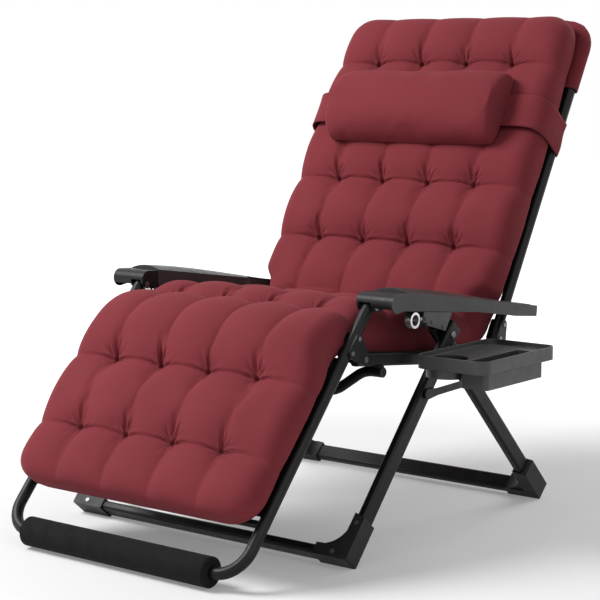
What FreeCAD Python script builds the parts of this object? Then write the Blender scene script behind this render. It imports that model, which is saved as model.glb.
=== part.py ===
"""Zero gravity recliner: a folding lounge chair on crossed legs, with a linked back, footrest and armrests.

Frame of the model: millimetres, +Z up, the sitter faces -Y and the sitter's left is +X.
The origin is on the floor, on the centre plane, between the front and the rear feet.
Everything beside the centre plane is described in the side plane (y, z) and by its lane along X.
"""
import FreeCAD, Part
import math
import os

V = FreeCAD.Vector

# ---------------------------------------------------------------------------
# Driving dimensions
# ---------------------------------------------------------------------------
# crossed legs
LEG_CROSS = (-17.0, 434.0)         # pivot where the two leg frames cross (y, z)
FRONT_BAR = (-374.0, 22.3)         # centre of the front floor bar
REAR_BAR = (384.0, 22.7)           # centre of the rear floor bar
LEG_THICK = 20.0                   # leg and floor bar tubes, size across the flat
FRONT_DEPTH = 38.0                 # front leg tube, size along the flat
REAR_DEPTH = 38.0                  # rear leg tube, size along the flat
LEG_WALL = 1.5
LEG_CORNER = 6.0                   # outside corner radius of the leg tubes
FRONT_LANE = 371.0                 # centre of the front legs along X
REAR_LANE = 348.0                  # centre of the rear legs along X
LEG_TOP = 47.0                     # rear leg's length past the crossing, up to its shoe's centre
LEG_FOLDED = 74.0                  # how far the front legs fold, degrees

# linkage of seat, footrest, back and armrests
KNEE = (-268.0, 408.0)             # seat to footrest pivot
ARM_FRONT = (-239.0, 512.0)        # armrest to footrest pivot
SPAN = 521.8                       # distance between the front and rear pivots
SEAT_SLOPE = 6.4                   # fall of the seat towards the back, degrees
BACK_RISE = 60.0                   # back frame above the floor, degrees
LEG_REST_RISE = 49.1               # footrest frame above the floor, degrees
SEAT_PIVOT_Y = 50.0                # where the seat rail crosses the rear leg
RECLINE = 35.0                     # travel of the footrest pivot, degrees

# round frame tubes
TUBE = 25.0                        # outside diameter
TUBE_WALL = 1.4
TUBE_LANE = 320.5                  # centre of the side tubes along X
BEND = 62.0                        # centreline radius of the frame corners
LEG_REST_LENGTH = 632.0            # armrest pivot to the foot bar's axis
BACK_LENGTH = 738.0                # armrest pivot to the top bar's axis
PLUG = 2.4                         # thickness of the plastic tube plugs
PLUG_STEM = 5.0                    # part of a plug inside its tube

# seat rail
RAIL_WIDE = 20.0
RAIL_TALL = 30.0
RAIL_WALL = 1.5
RAIL_PAST = 14.0                   # rail beyond its pivots

# cross tubes
CROSS_TUBE = 22.0                  # bowed tube under the seat
CROSS_DROP = 52.0                  # how far it dips in the middle
CROSS_AT = 71.0                    # its distance behind the knee pivot
TIE_TUBE = 16.0                    # tie tube at the low end of the footrest
TIE_AT = 516.0                     # its distance below the armrest pivot
LUMBAR_TUBE = 19.0                 # bowed tube behind the back
LUMBAR_AT = 52.0                   # its distance above the armrest pivot
LUMBAR_OFF = -12.5                 # its ends are welded to the backs of the side tubes
LUMBAR_BOW = 70.0                  # how far back it bows in the middle
LUMBAR_STRAIGHT = 42.0             # its straight ends
LUMBAR_SLOPE = 68.0                # from there to the bow, along X
CROSS_STRAIGHT = 46.0              # straight ends of the seat's cross tube
CROSS_SLOPE = 74.0
KNEE_RIVETS = (-16.0, 20.0)        # rivets of the knee brackets, from the knee, along the tube
HIP_RIVETS = (32.0, 66.0)

# brackets and fasteners
PLATE = 3.0                        # bracket plates and stays
PIVOT = 8.0                        # pivot bolts
RUNNING = 0.05                     # radial clearance of a running fit
HEAD = 16.0                        # pivot bolt heads
HEAD_TALL = 3.0
RIVET = 5.0
RIVET_HEAD = 10.0
SEAT_GAP = 0.2                     # clearance of parts that seat in each other
STAY_REACH = 150.0                 # stay pivots to the leg crossing
STAY_LANE = 384.3                  # inner face of the stays
STAY_TALL = 15.0
STAY_GROOVE = 1.8                  # depth of the groove in the stay's inner face
STAY_EYE = 22.0                    # rounded ends

# foot connectors
SHOE_WALL = 3.0                    # wall round the tubes
FRONT_SHOE_OUT = 384.5             # outer face of the front connectors
REAR_SHOE_OUT = 368.0
SHOE_RUN = 86.0                    # length along the floor bar
SHOE_RISE = 92.0                   # length up the leg
WEB_RADIUS = 56.0                  # hollow curve of the gusset
WEB_SUNK = 3.0                     # gusset face below the sleeves
FOOT_RIVET_IN = 26.0               # bar's rivet, inboard of the leg's centre

# foot roller
ROLLER = 62.0
ROLLER_HALF = 255.0
ROLLER_FIT = 0.4
ROLLER_EDGE = 4.0                  # bevel of its ends

# armrest
ARM_IN = 300.0                     # inner edge along X
ARM_OUT = 390.0                    # outer edge along X
ARM_WALL = 3.0
ARM_NOSE = 20.0                    # radius of the rounded front end
ARM_FRONT_HIGH = 33.0              # top above the pivot line, front
ARM_REAR_HIGH = 12.0               # top above the pivot line, rear
ARM_LOW = 3.0                      # underside below the pivot line
ARM_TAIL = 32.0                    # length past the rear pivot
ARM_STEP_IN = 338.5                # inner edge beside the back tube
ARM_STEP_AT = 418.0                # where the inner edge has stepped out
ARM_STEP_LONG = 76.0               # length of that step
CROWN = 11.0                       # height of the pad's crown
PAD_FROM = 41.0
PAD_TO = 530.0
TRACK = 10.0                       # rod that the lock slides on
TRACK_HIGH = 9.0                   # its centre above the pivot line
TRACK_FROM = 22.0
TRACK_TO = 232.0

# lock
LOCK_FRONT = 113.0                 # front of the lock, from the armrest pivot
LOCK_LONG = 95.0
LOCK_TALL = 44.0
LOCK_IN = 331.0
LOCK_OUT = 389.0
LOCK_TOP = -ARM_LOW - 0.5          # just under the armrest
LEVER_PIVOT = (LOCK_FRONT - 3.0, LOCK_TOP - 14.5)
LEVER_RING = 34.0
LEVER_BORE = 23.0
LEVER_WIDE = 15.0
LEVER_REACH = 30.0
CAM = 6.5                          # radius of the lever's cam

# side tray
TRAY_IN = 393.0
TRAY_OUT = 565.0
TRAY_FRONT = -181.0
TRAY_REAR = 106.0
TRAY_TOP = 414.0
TRAY_RIM = 28.0
TRAY_WALL = 3.0
TRAY_CORNER = 26.0
BIN_IN = 492.0                     # inner wall of the deep bin
BIN_REAR = 62.0
BIN_FLOOR = 352.0
CUP_BORE = 84.0
CUP_FLOOR = 366.0
HANGER_OUT = TRAY_IN - 1.0         # outer face of the hanger's tongue
HANGER_TONGUE = 2.6
HANGER_DOWN = 44.0                 # hanger's place below the legs' crossing

# soft parts
PAD_HALF = 296.0                   # half width of the cushion
PAD_TOP = 92.0                     # top of the footrest's cushion above the plane of its tubes
SEAT_TOP = 120.0                   # the seat's cushion is the thickest
SOFT_GAP = 0.3                     # a soft part lies this far from what carries it
PAD_ROUND = 30.0
BACK_TOP = 98.0                    # the back's pad is a little fuller
LEG_SLING_TOP = -127.0             # below the knee brackets
SEAT_SLING_IN = 58.0               # sling's ends inside the seat's pivots
SLING_THICK = 2.4
SLING_LOW = -3.0                   # slings of back and footrest, below the plane of their tubes
SEAT_SLING_LOW = 2.5               # the seat's sling, above the plane of its rails
BACK_PAD_FROM = -34.0
BACK_PAD_TO = 764.0
LEG_PAD_FROM = -528.0
LEG_PAD_TO = -62.0
SEAT_PAD_FROM = 24.0
SEAT_PAD_TO = 458.0
POCKET_DROP = 190.0                # flap behind the top of the back
PILLOW_HALF = 245.0
PILLOW_TALL = 196.0
PILLOW_DEEP = 74.0
PILLOW_AT = 446.0                  # its centre above the armrest pivot
STRAP_TALL = 82.0
STRAP_THICK = 2.6


# ---------------------------------------------------------------------------
# Side-plane lines
# ---------------------------------------------------------------------------
class Line:
    """A line in the side plane, with its normal on the side that faces up or forward."""

    def __init__(self, start, rise):
        self.start = start
        self.rise = rise
        self.along = (math.cos(math.radians(rise)), math.sin(math.radians(rise)))
        self.off = (-self.along[1], self.along[0])

    def yz(self, s, off=0.0):
        return (
            self.start[0] + s * self.along[0] + off * self.off[0],
            self.start[1] + s * self.along[1] + off * self.off[1],
        )

    def at(self, s, off=0.0, x=0.0):
        y, z = self.yz(s, off)
        return V(x, y, z)

    def reach(self, point):
        """Distance along the line, and off it, of a point (y, z)."""
        dy = point[0] - self.start[0]
        dz = point[1] - self.start[1]
        return (
            dy * self.along[0] + dz * self.along[1],
            dy * self.off[0] + dz * self.off[1],
        )

    def direction(self):
        return V(0, self.along[0], self.along[1])

    def normal(self):
        return V(0, self.off[0], self.off[1])


def rise_of(low, high):
    return math.degrees(math.atan2(high[1] - low[1], high[0] - low[0]))


def distance(a, b):
    return math.hypot(b[0] - a[0], b[1] - a[1])


front_leg = Line(FRONT_BAR, rise_of(FRONT_BAR, LEG_CROSS))
rear_leg = Line(REAR_BAR, rise_of(REAR_BAR, LEG_CROSS))
front_leg_length = distance(FRONT_BAR, LEG_CROSS)
rear_leg_length = distance(REAR_BAR, LEG_CROSS)
rail = Line(KNEE, -SEAT_SLOPE)
arm = Line(ARM_FRONT, -SEAT_SLOPE)
HIP = rail.yz(SPAN)
ARM_REAR = arm.yz(SPAN)
leg_rest = Line(ARM_FRONT, LEG_REST_RISE)
back = Line(ARM_REAR, BACK_RISE)

# the seat rail crosses the rear leg's centreline here
_s_seat = (SEAT_PIVOT_Y - REAR_BAR[0]) / rear_leg.along[0]
SEAT_PIVOT = rear_leg.yz(_s_seat)
STAY_FRONT = front_leg.yz(front_leg_length - STAY_REACH)
STAY_REAR = rear_leg.yz(rear_leg_length - STAY_REACH)
TRAY_HANG = front_leg.yz(front_leg_length - HANGER_DOWN)

parts = {}


# ---------------------------------------------------------------------------
# Shapes
# ---------------------------------------------------------------------------
def placed(shape, origin, xdir, ydir):
    """Moves a shape drawn in its own axes to an origin, with its X and Y along two directions."""
    zdir = xdir.cross(ydir)
    matrix = FreeCAD.Matrix(
        xdir.x, ydir.x, zdir.x, origin.x,
        xdir.y, ydir.y, zdir.y, origin.y,
        xdir.z, ydir.z, zdir.z, origin.z,
        0, 0, 0, 1,
    )
    return shape.transformed(matrix)


def mirrored(shape):
    return shape.mirror(V(0, 0, 0), V(1, 0, 0))


def group(shapes):
    solids = []
    for shape in shapes:
        solids.extend(shape.Solids)
    return solids[0] if len(solids) == 1 else Part.Compound(solids)


def both_sides(shape):
    return group([shape, mirrored(shape)])


def pair(name, shape):
    """The sitter's left is +X; the right-hand piece is its mirror image."""
    parts[name + "_left"] = shape
    parts[name + "_right"] = mirrored(shape)


def rounded_rectangle(wide, tall, radius):
    """Closed wire, centred on the origin of its own XY plane."""
    w = wide / 2.0
    t = tall / 2.0
    r = min(radius, w - 0.01, t - 0.01)
    k = r * (1 - math.sqrt(0.5))
    corners = [(w, t, 1, 1), (-w, t, -1, 1), (-w, -t, -1, -1), (w, -t, 1, -1)]
    arcs = []
    for cx, cy, sx, sy in corners:
        side = V(cx, cy - sy * r, 0)
        middle = V(cx - sx * k, cy - sy * k, 0)
        end = V(cx - sx * r, cy, 0)
        ends = (side, end) if sx * sy > 0 else (end, side)
        arcs.append((ends[0], middle, ends[1]))
    edges = []
    for i, (a, m, b) in enumerate(arcs):
        edges.append(Part.Arc(a, m, b).toShape())
        edges.append(Part.LineSegment(b, arcs[(i + 1) % 4][0]).toShape())
    return Part.Wire(edges)


def flat_tube(line, s0, s1, lane, wide, deep, wall, corner):
    """A rounded flat tube along a side-plane line: wide along X, deep across the line."""
    outer = Part.Face(rounded_rectangle(wide, deep, corner))
    inner = Part.Face(rounded_rectangle(wide - 2 * wall, deep - 2 * wall, corner - wall))
    ring = outer.cut(inner).extrude(V(0, 0, s1 - s0))
    origin = line.at(s0, 0, lane)
    return placed(ring, origin, V(1, 0, 0), line.normal() * -1)


def rod_x(y, z, x0, x1, radius):
    """A round bar along X."""
    return Part.makeCylinder(radius, abs(x1 - x0), V(min(x0, x1), y, z), V(1, 0, 0))


def bolt_x(point, x0, x1, radius, head=None, head_at=None):
    """A pivot bolt along X, with a bevelled head on its outer end."""
    y, z = point
    shape = rod_x(y, z, x0, x1, radius)
    if head:
        disc = rod_x(y, z, head_at, head_at + HEAD_TALL, head / 2.0)
        rim = [e for e in disc.Edges if abs(e.CenterOfMass.x - head_at - HEAD_TALL) < 0.01]
        shape = shape.fuse(disc.makeChamfer(HEAD_TALL * 0.5, rim[:1])).removeSplitter()
    return shape


def bent_path(points, radius):
    """A wire of straight runs joined by tangent arcs, through corner points."""
    edges = []
    start = points[0]
    for before, corner, after in zip(points, points[1:], points[2:]):
        a = (before - corner).normalize()
        b = (after - corner).normalize()
        half = math.acos(max(-1.0, min(1.0, a.dot(b)))) / 2.0
        back_off = radius / math.tan(half)
        centre = corner + (a + b).normalize() * (radius / math.sin(half))
        t0 = corner + a * back_off
        t1 = corner + b * back_off
        middle = centre + (corner - centre).normalize() * radius
        edges.append(Part.LineSegment(start, t0).toShape())
        edges.append(Part.Arc(t0, middle, t1).toShape())
        start = t1
    edges.append(Part.LineSegment(start, points[-1]).toShape())
    return Part.Wire(edges)


def swept(path, radius):
    start = path.OrderedEdges[0]
    p = start.valueAt(start.FirstParameter)
    t = start.tangentAt(start.FirstParameter)
    ring = Part.Wire([Part.makeCircle(radius, p, t)])
    return path.makePipeShell([ring], True, False)


def round_tube(path, outside, wall):
    return swept(path, outside / 2.0).cut(swept(path, outside / 2.0 - wall))


def plate_x(outline, x0, x1):
    """A plate cut from a closed side-plane wire (drawn at x = 0), between two lanes."""
    face = Part.Face(outline)
    face.translate(V(min(x0, x1), 0, 0))
    return face.extrude(V(abs(x1 - x0), 0, 0))


def capsule(a, b, radius_a, radius_b):
    """Side-plane outline round two points, joined by the lines that touch both circles."""
    length = distance(a, b)
    axis = math.atan2(b[1] - a[1], b[0] - a[0])
    lean = math.acos((radius_a - radius_b) / length)

    def on(centre, radius, angle):
        return V(0, centre[0] + radius * math.cos(angle), centre[1] + radius * math.sin(angle))

    a1 = on(a, radius_a, axis + lean)
    a2 = on(a, radius_a, axis + math.pi)
    a3 = on(a, radius_a, axis - lean)
    b1 = on(b, radius_b, axis - lean)
    b2 = on(b, radius_b, axis)
    b3 = on(b, radius_b, axis + lean)
    return Part.Wire([
        Part.Arc(a1, a2, a3).toShape(),
        Part.LineSegment(a3, b1).toShape(),
        Part.Arc(b1, b2, b3).toShape(),
        Part.LineSegment(b3, a1).toShape(),
    ])


def polygon_x(points, x0, x1):
    closed = [V(0, y, z) for y, z in points]
    return plate_x(Part.makePolygon(closed + closed[:1]), x0, x1)


def box(x0, x1, y0, y1, z0, z1):
    return Part.makeBox(x1 - x0, y1 - y0, z1 - z0, V(x0, y0, z0))


def slab(line, s0, s1, off0, off1, half_wide, radius=0.0):
    """A soft or flat panel across the chair, on a side-plane line; its cross edges may be rounded."""
    shape = Part.makeBox(2 * half_wide, s1 - s0, off1 - off0, V(-half_wide, s0, off0))
    if radius:
        across = [e for e in shape.Edges if e.BoundBox.XLength > half_wide]
        shape = shape.makeFillet(radius, across)
    origin = V(0, line.start[0], line.start[1])
    return placed(shape, origin, V(1, 0, 0), line.direction())


# ---------------------------------------------------------------------------
# Leg frames
# ---------------------------------------------------------------------------
def leg(line, s0, s1, lane, deep, holes):
    shape = flat_tube(line, s0, s1, lane, LEG_THICK, deep, LEG_WALL, LEG_CORNER)
    for point, radius in holes:
        shape = shape.cut(rod_x(point[0], point[1], lane - LEG_THICK, lane + LEG_THICK, radius))
    return shape


def floor_bar(line, lane, deep):
    """The floor bar lies in the plane of its legs, so it is turned with them."""
    half = lane - LEG_THICK / 2.0 - SEAT_GAP - 2
    outer = Part.Face(rounded_rectangle(LEG_THICK, deep, LEG_CORNER))
    inner_wire = rounded_rectangle(LEG_THICK - 2 * LEG_WALL, deep - 2 * LEG_WALL, LEG_CORNER - LEG_WALL)
    ring = outer.cut(Part.Face(inner_wire)).extrude(V(0, 0, 2 * half))
    return placed(ring, V(-half, line.start[0], line.start[1]), line.direction(), line.normal())


def foot_connector(line, lane, deep, outer_x):
    """Moulded corner that joins floor bar and leg, with a hollow-curved gusset between them."""
    bar_low = -LEG_THICK / 2.0 - SHOE_WALL
    bar_high = LEG_THICK / 2.0 + SHOE_WALL
    leg_inner = lane - LEG_THICK / 2.0 - SHOE_WALL
    inner_end = outer_x - SHOE_RUN
    half_deep = deep / 2.0 + SHOE_WALL
    curve = min(WEB_RADIUS, leg_inner - inner_end - 1)
    k = curve * (1 - math.sqrt(0.5))
    a = V(inner_end, bar_low, 0)
    b = V(outer_x - 5, bar_low, 0)
    corner = V(outer_x - 1.5, bar_low + 1.5, 0)
    c = V(outer_x, bar_low + 5, 0)
    d = V(outer_x, SHOE_RISE - 8, 0)
    e = V(leg_inner, SHOE_RISE, 0)
    f = V(leg_inner, bar_high + curve, 0)
    bow = V(leg_inner - k, bar_high + k, 0)
    g = V(leg_inner - curve, bar_high, 0)
    h = V(inner_end, bar_high, 0)
    outline = Part.Wire([
        Part.LineSegment(a, b).toShape(),
        Part.Arc(b, corner, c).toShape(),
        Part.LineSegment(c, d).toShape(),
        Part.LineSegment(d, e).toShape(),
        Part.LineSegment(e, f).toShape(),
        Part.Arc(f, bow, g).toShape(),
        Part.LineSegment(g, h).toShape(),
        Part.LineSegment(h, a).toShape(),
    ])
    face = Part.Face(outline)
    face.translate(V(0, 0, -half_deep))
    body = face.extrude(V(0, 0, 2 * half_deep))

    # the gusset's faces lie below the two sleeves
    web_a = V(inner_end + 14, bar_high + 0.5, 0)
    web_b = V(leg_inner - 0.5, SHOE_RISE - 18, 0)
    web_c = V(leg_inner - 0.5, bar_high + 0.5, 0)
    pocket_face = Part.Face(Part.makePolygon([web_a, web_b, web_c, web_a]))
    for side in (-1, 1):
        pocket = pocket_face.extrude(V(0, 0, WEB_SUNK * 2 * side))
        pocket.translate(V(0, 0, side * (half_deep - WEB_SUNK)))
        body = body.cut(pocket)

    # seats for the two tubes
    leg_seat = bar_high + 1.0
    leg_hole = Part.Face(rounded_rectangle(LEG_THICK + 2 * SEAT_GAP, deep + 2 * SEAT_GAP, LEG_CORNER))
    leg_hole = placed(
        leg_hole.extrude(V(0, 0, SHOE_RISE)), V(lane, leg_seat, 0), V(1, 0, 0), V(0, 0, -1)
    )
    bar_hole = Part.Face(rounded_rectangle(LEG_THICK + 2 * SEAT_GAP, deep + 2 * SEAT_GAP, LEG_CORNER))
    bar_end = lane - LEG_THICK / 2.0
    bar_hole = placed(
        bar_hole.extrude(V(0, 0, SHOE_RUN + 5)), V(bar_end - SHOE_RUN - 5, 0, 0), V(0, 1, 0), V(0, 0, 1)
    )
    body = body.cut(leg_hole).cut(bar_hole)
    body = placed(body, V(0, line.start[0], line.start[1]), V(1, 0, 0), line.direction())
    for base, axis in rivet_seats(line, lane, deep):
        body = body.cut(Part.makeCylinder(RIVET / 2.0, 2 * SHOE_WALL, base - axis * SHOE_WALL, axis))
    floor = box(-500, 500, -900, 900, -60, 0)
    return body.cut(floor)


def rivet_seats(line, lane, deep):
    """Where the two rivets of a connector sit: into the bar and into the leg, on the upper face."""
    side = 1 if line.off[1] > 0 else -1
    face_off = side * (deep / 2.0 + SHOE_WALL)
    axis = line.normal() * side
    return [
        (line.at(0.0, face_off, lane - FOOT_RIVET_IN), axis),
        (line.at(SHOE_RISE - 22.0, face_off, lane), axis),
    ]


def foot_rivets(line, lane, deep):
    """Blind rivets through the connector's wall, with low round heads."""
    shapes = []
    for base, axis in rivet_seats(line, lane, deep):
        head = Part.makeCylinder(RIVET_HEAD / 2.0, 1.6, base, axis)
        shank = Part.makeCylinder(RIVET / 2.0, SHOE_WALL - 0.2, base - axis * (SHOE_WALL - 0.2), axis)
        shapes.append(head.fuse(shank))
    return both_sides(group(shapes))


def make_leg_frames():
    running = PIVOT / 2.0 + RUNNING
    leg_start = LEG_THICK / 2.0 + SHOE_WALL + 1.2
    front_holes = [(LEG_CROSS, running), (STAY_FRONT, PIVOT / 2.0)]
    front_top = front_leg_length + FRONT_DEPTH * 0.62
    pair("front_leg", leg(front_leg, leg_start, front_top, FRONT_LANE, FRONT_DEPTH, front_holes))
    rear_holes = [(LEG_CROSS, PIVOT / 2.0), (SEAT_PIVOT, PIVOT / 2.0), (STAY_REAR, PIVOT / 2.0)]
    rear_top = rear_leg_length + LEG_TOP - 16
    pair("rear_leg", leg(rear_leg, leg_start, rear_top, REAR_LANE, REAR_DEPTH, rear_holes))
    parts["front_floor_bar"] = floor_bar(front_leg, FRONT_LANE, FRONT_DEPTH)
    parts["rear_floor_bar"] = floor_bar(rear_leg, REAR_LANE, REAR_DEPTH)
    pair("front_foot", foot_connector(front_leg, FRONT_LANE, FRONT_DEPTH, FRONT_SHOE_OUT))
    pair("rear_foot", foot_connector(rear_leg, REAR_LANE, REAR_DEPTH, REAR_SHOE_OUT))
    parts["front_foot_rivets"] = foot_rivets(front_leg, FRONT_LANE, FRONT_DEPTH)
    parts["rear_foot_rivets"] = foot_rivets(rear_leg, REAR_LANE, REAR_DEPTH)
    parts["front_leg_plugs"] = both_sides(leg_plug(front_leg, front_top, FRONT_LANE, FRONT_DEPTH))
    parts["leg_top_shoes"] = both_sides(leg_top_shoe(rear_top))


def leg_plug(line, s, lane, deep):
    """Plastic plug with a bevelled lip that closes a leg's top end."""
    lip = Part.Face(rounded_rectangle(LEG_THICK, deep, LEG_CORNER)).extrude(V(0, 0, PLUG))
    stem_wide = LEG_THICK - 2 * LEG_WALL - 2 * SEAT_GAP
    stem_deep = deep - 2 * LEG_WALL - 2 * SEAT_GAP
    stem = Part.Face(rounded_rectangle(stem_wide, stem_deep, LEG_CORNER - LEG_WALL)).extrude(V(0, 0, -6))
    top_edges = [e for e in lip.Edges if e.BoundBox.ZMin > PLUG - 0.01]
    shape = lip.makeChamfer(PLUG * 0.5, top_edges).fuse(stem)
    return placed(shape, line.at(s, 0, lane), V(1, 0, 0), line.normal() * -1)


def leg_top_shoe(s_tube):
    """Nylon shoe on the rear leg's top, which sits in the lock under the armrest."""
    shape = leg_plug(rear_leg, s_tube, REAR_LANE, REAR_DEPTH)
    s_top = rear_leg_length + LEG_TOP
    neck = Part.makeBox(14, 22, s_top - s_tube, V(-7, -11, 0))
    end = Part.makeCylinder(11, 14, V(-7, 0, s_top - s_tube), V(1, 0, 0))
    neck = placed(neck.fuse(end), rear_leg.at(s_tube, 0, REAR_LANE), V(1, 0, 0), rear_leg.normal() * -1)
    return shape.fuse(neck).removeSplitter()


# ---------------------------------------------------------------------------
# Pivots of the leg frames
# ---------------------------------------------------------------------------
def make_leg_pivots():
    front_out = FRONT_LANE + LEG_THICK / 2.0
    rear_in = REAR_LANE - LEG_THICK / 2.0
    rear_out = REAR_LANE + LEG_THICK / 2.0
    front_in = FRONT_LANE - LEG_THICK / 2.0
    washer = rod_x(LEG_CROSS[0], LEG_CROSS[1], rear_out, front_in - 0.3, HEAD / 2.0)
    cross = bolt_x(LEG_CROSS, rear_in - 2, front_out + 0.3, PIVOT / 2.0, HEAD, front_out + 0.3)
    inner_nut = rod_x(LEG_CROSS[0], LEG_CROSS[1], rear_in - 3, rear_in, 6.5)
    parts["leg_pivot_bolts"] = both_sides(cross.fuse(washer).fuse(inner_nut).removeSplitter())

    rail_out = TUBE_LANE + RAIL_WIDE / 2.0
    rail_in = TUBE_LANE - RAIL_WIDE / 2.0
    seat = rod_x(SEAT_PIVOT[0], SEAT_PIVOT[1], rail_in - 0.3, rear_out, PIVOT / 2.0)
    spacer = rod_x(SEAT_PIVOT[0], SEAT_PIVOT[1], rail_out + 0.3, rear_in, 9.0)
    nut = rod_x(SEAT_PIVOT[0], SEAT_PIVOT[1], rail_in - 0.3 - HEAD_TALL, rail_in - 0.3, 6.5)
    head = rod_x(SEAT_PIVOT[0], SEAT_PIVOT[1], rear_out, rear_out + 1.8, 7.0)
    parts["seat_pivot_bolts"] = both_sides(seat.fuse(spacer).fuse(nut).fuse(head).removeSplitter())

    stay_out = STAY_LANE + PLATE
    stud = rod_x(STAY_FRONT[0], STAY_FRONT[1], front_in, front_out, PIVOT / 2.0)
    sleeve = rod_x(STAY_FRONT[0], STAY_FRONT[1], front_out, STAY_LANE - 0.3, 6.5)
    tip = rod_x(STAY_FRONT[0], STAY_FRONT[1], front_out, STAY_LANE + STAY_GROOVE - 0.3, PIVOT / 2.0 - 0.6)
    parts["stay_studs"] = both_sides(stud.fuse(sleeve).fuse(tip).removeSplitter())

    pin = rod_x(STAY_REAR[0], STAY_REAR[1], rear_in, stay_out + 0.3, PIVOT / 2.0)
    shim = rod_x(STAY_REAR[0], STAY_REAR[1], rear_out, STAY_LANE - 0.3, 7.0)
    pin_head = rod_x(STAY_REAR[0], STAY_REAR[1], stay_out + 0.3, stay_out + 3.0, 6.5)
    parts["stay_pivot_bolts"] = both_sides(pin.fuse(shim).fuse(pin_head).removeSplitter())


def make_stays():
    """Stays that stop the legs when open; the front stud runs in a groove in each one's inner face."""
    open_span = distance(STAY_FRONT, STAY_REAR)
    gap = rise_of(LEG_CROSS, STAY_REAR) - rise_of(LEG_CROSS, STAY_FRONT)
    folded_span = 2 * STAY_REACH * math.sin(math.radians((gap - LEG_FOLDED) / 2.0))
    line = Line(STAY_REAR, rise_of(STAY_REAR, STAY_FRONT))
    eye = plate_x(capsule(line.yz(0), line.yz(34), STAY_EYE / 2.0, STAY_TALL / 2.0), 0, PLATE)
    bar = plate_x(
        capsule(line.yz(20), line.yz(open_span - 20), STAY_TALL / 2.0 + 0.01, STAY_TALL / 2.0), 0, PLATE
    )
    end = plate_x(
        capsule(line.yz(open_span), line.yz(open_span - 34), STAY_EYE / 2.0, STAY_TALL / 2.0), 0, PLATE
    )
    slot_half = PIVOT / 2.0
    groove = plate_x(
        capsule(line.yz(folded_span - 1), line.yz(open_span), slot_half + 0.01, slot_half), -1, STAY_GROOVE
    )
    shape = eye.fuse(bar).fuse(end).cut(groove)
    shape = shape.cut(rod_x(STAY_REAR[0], STAY_REAR[1], -1, PLATE + 1, PIVOT / 2.0 + RUNNING))
    shape.translate(V(STAY_LANE, 0, 0))
    pair("stay", shape.removeSplitter())


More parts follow.
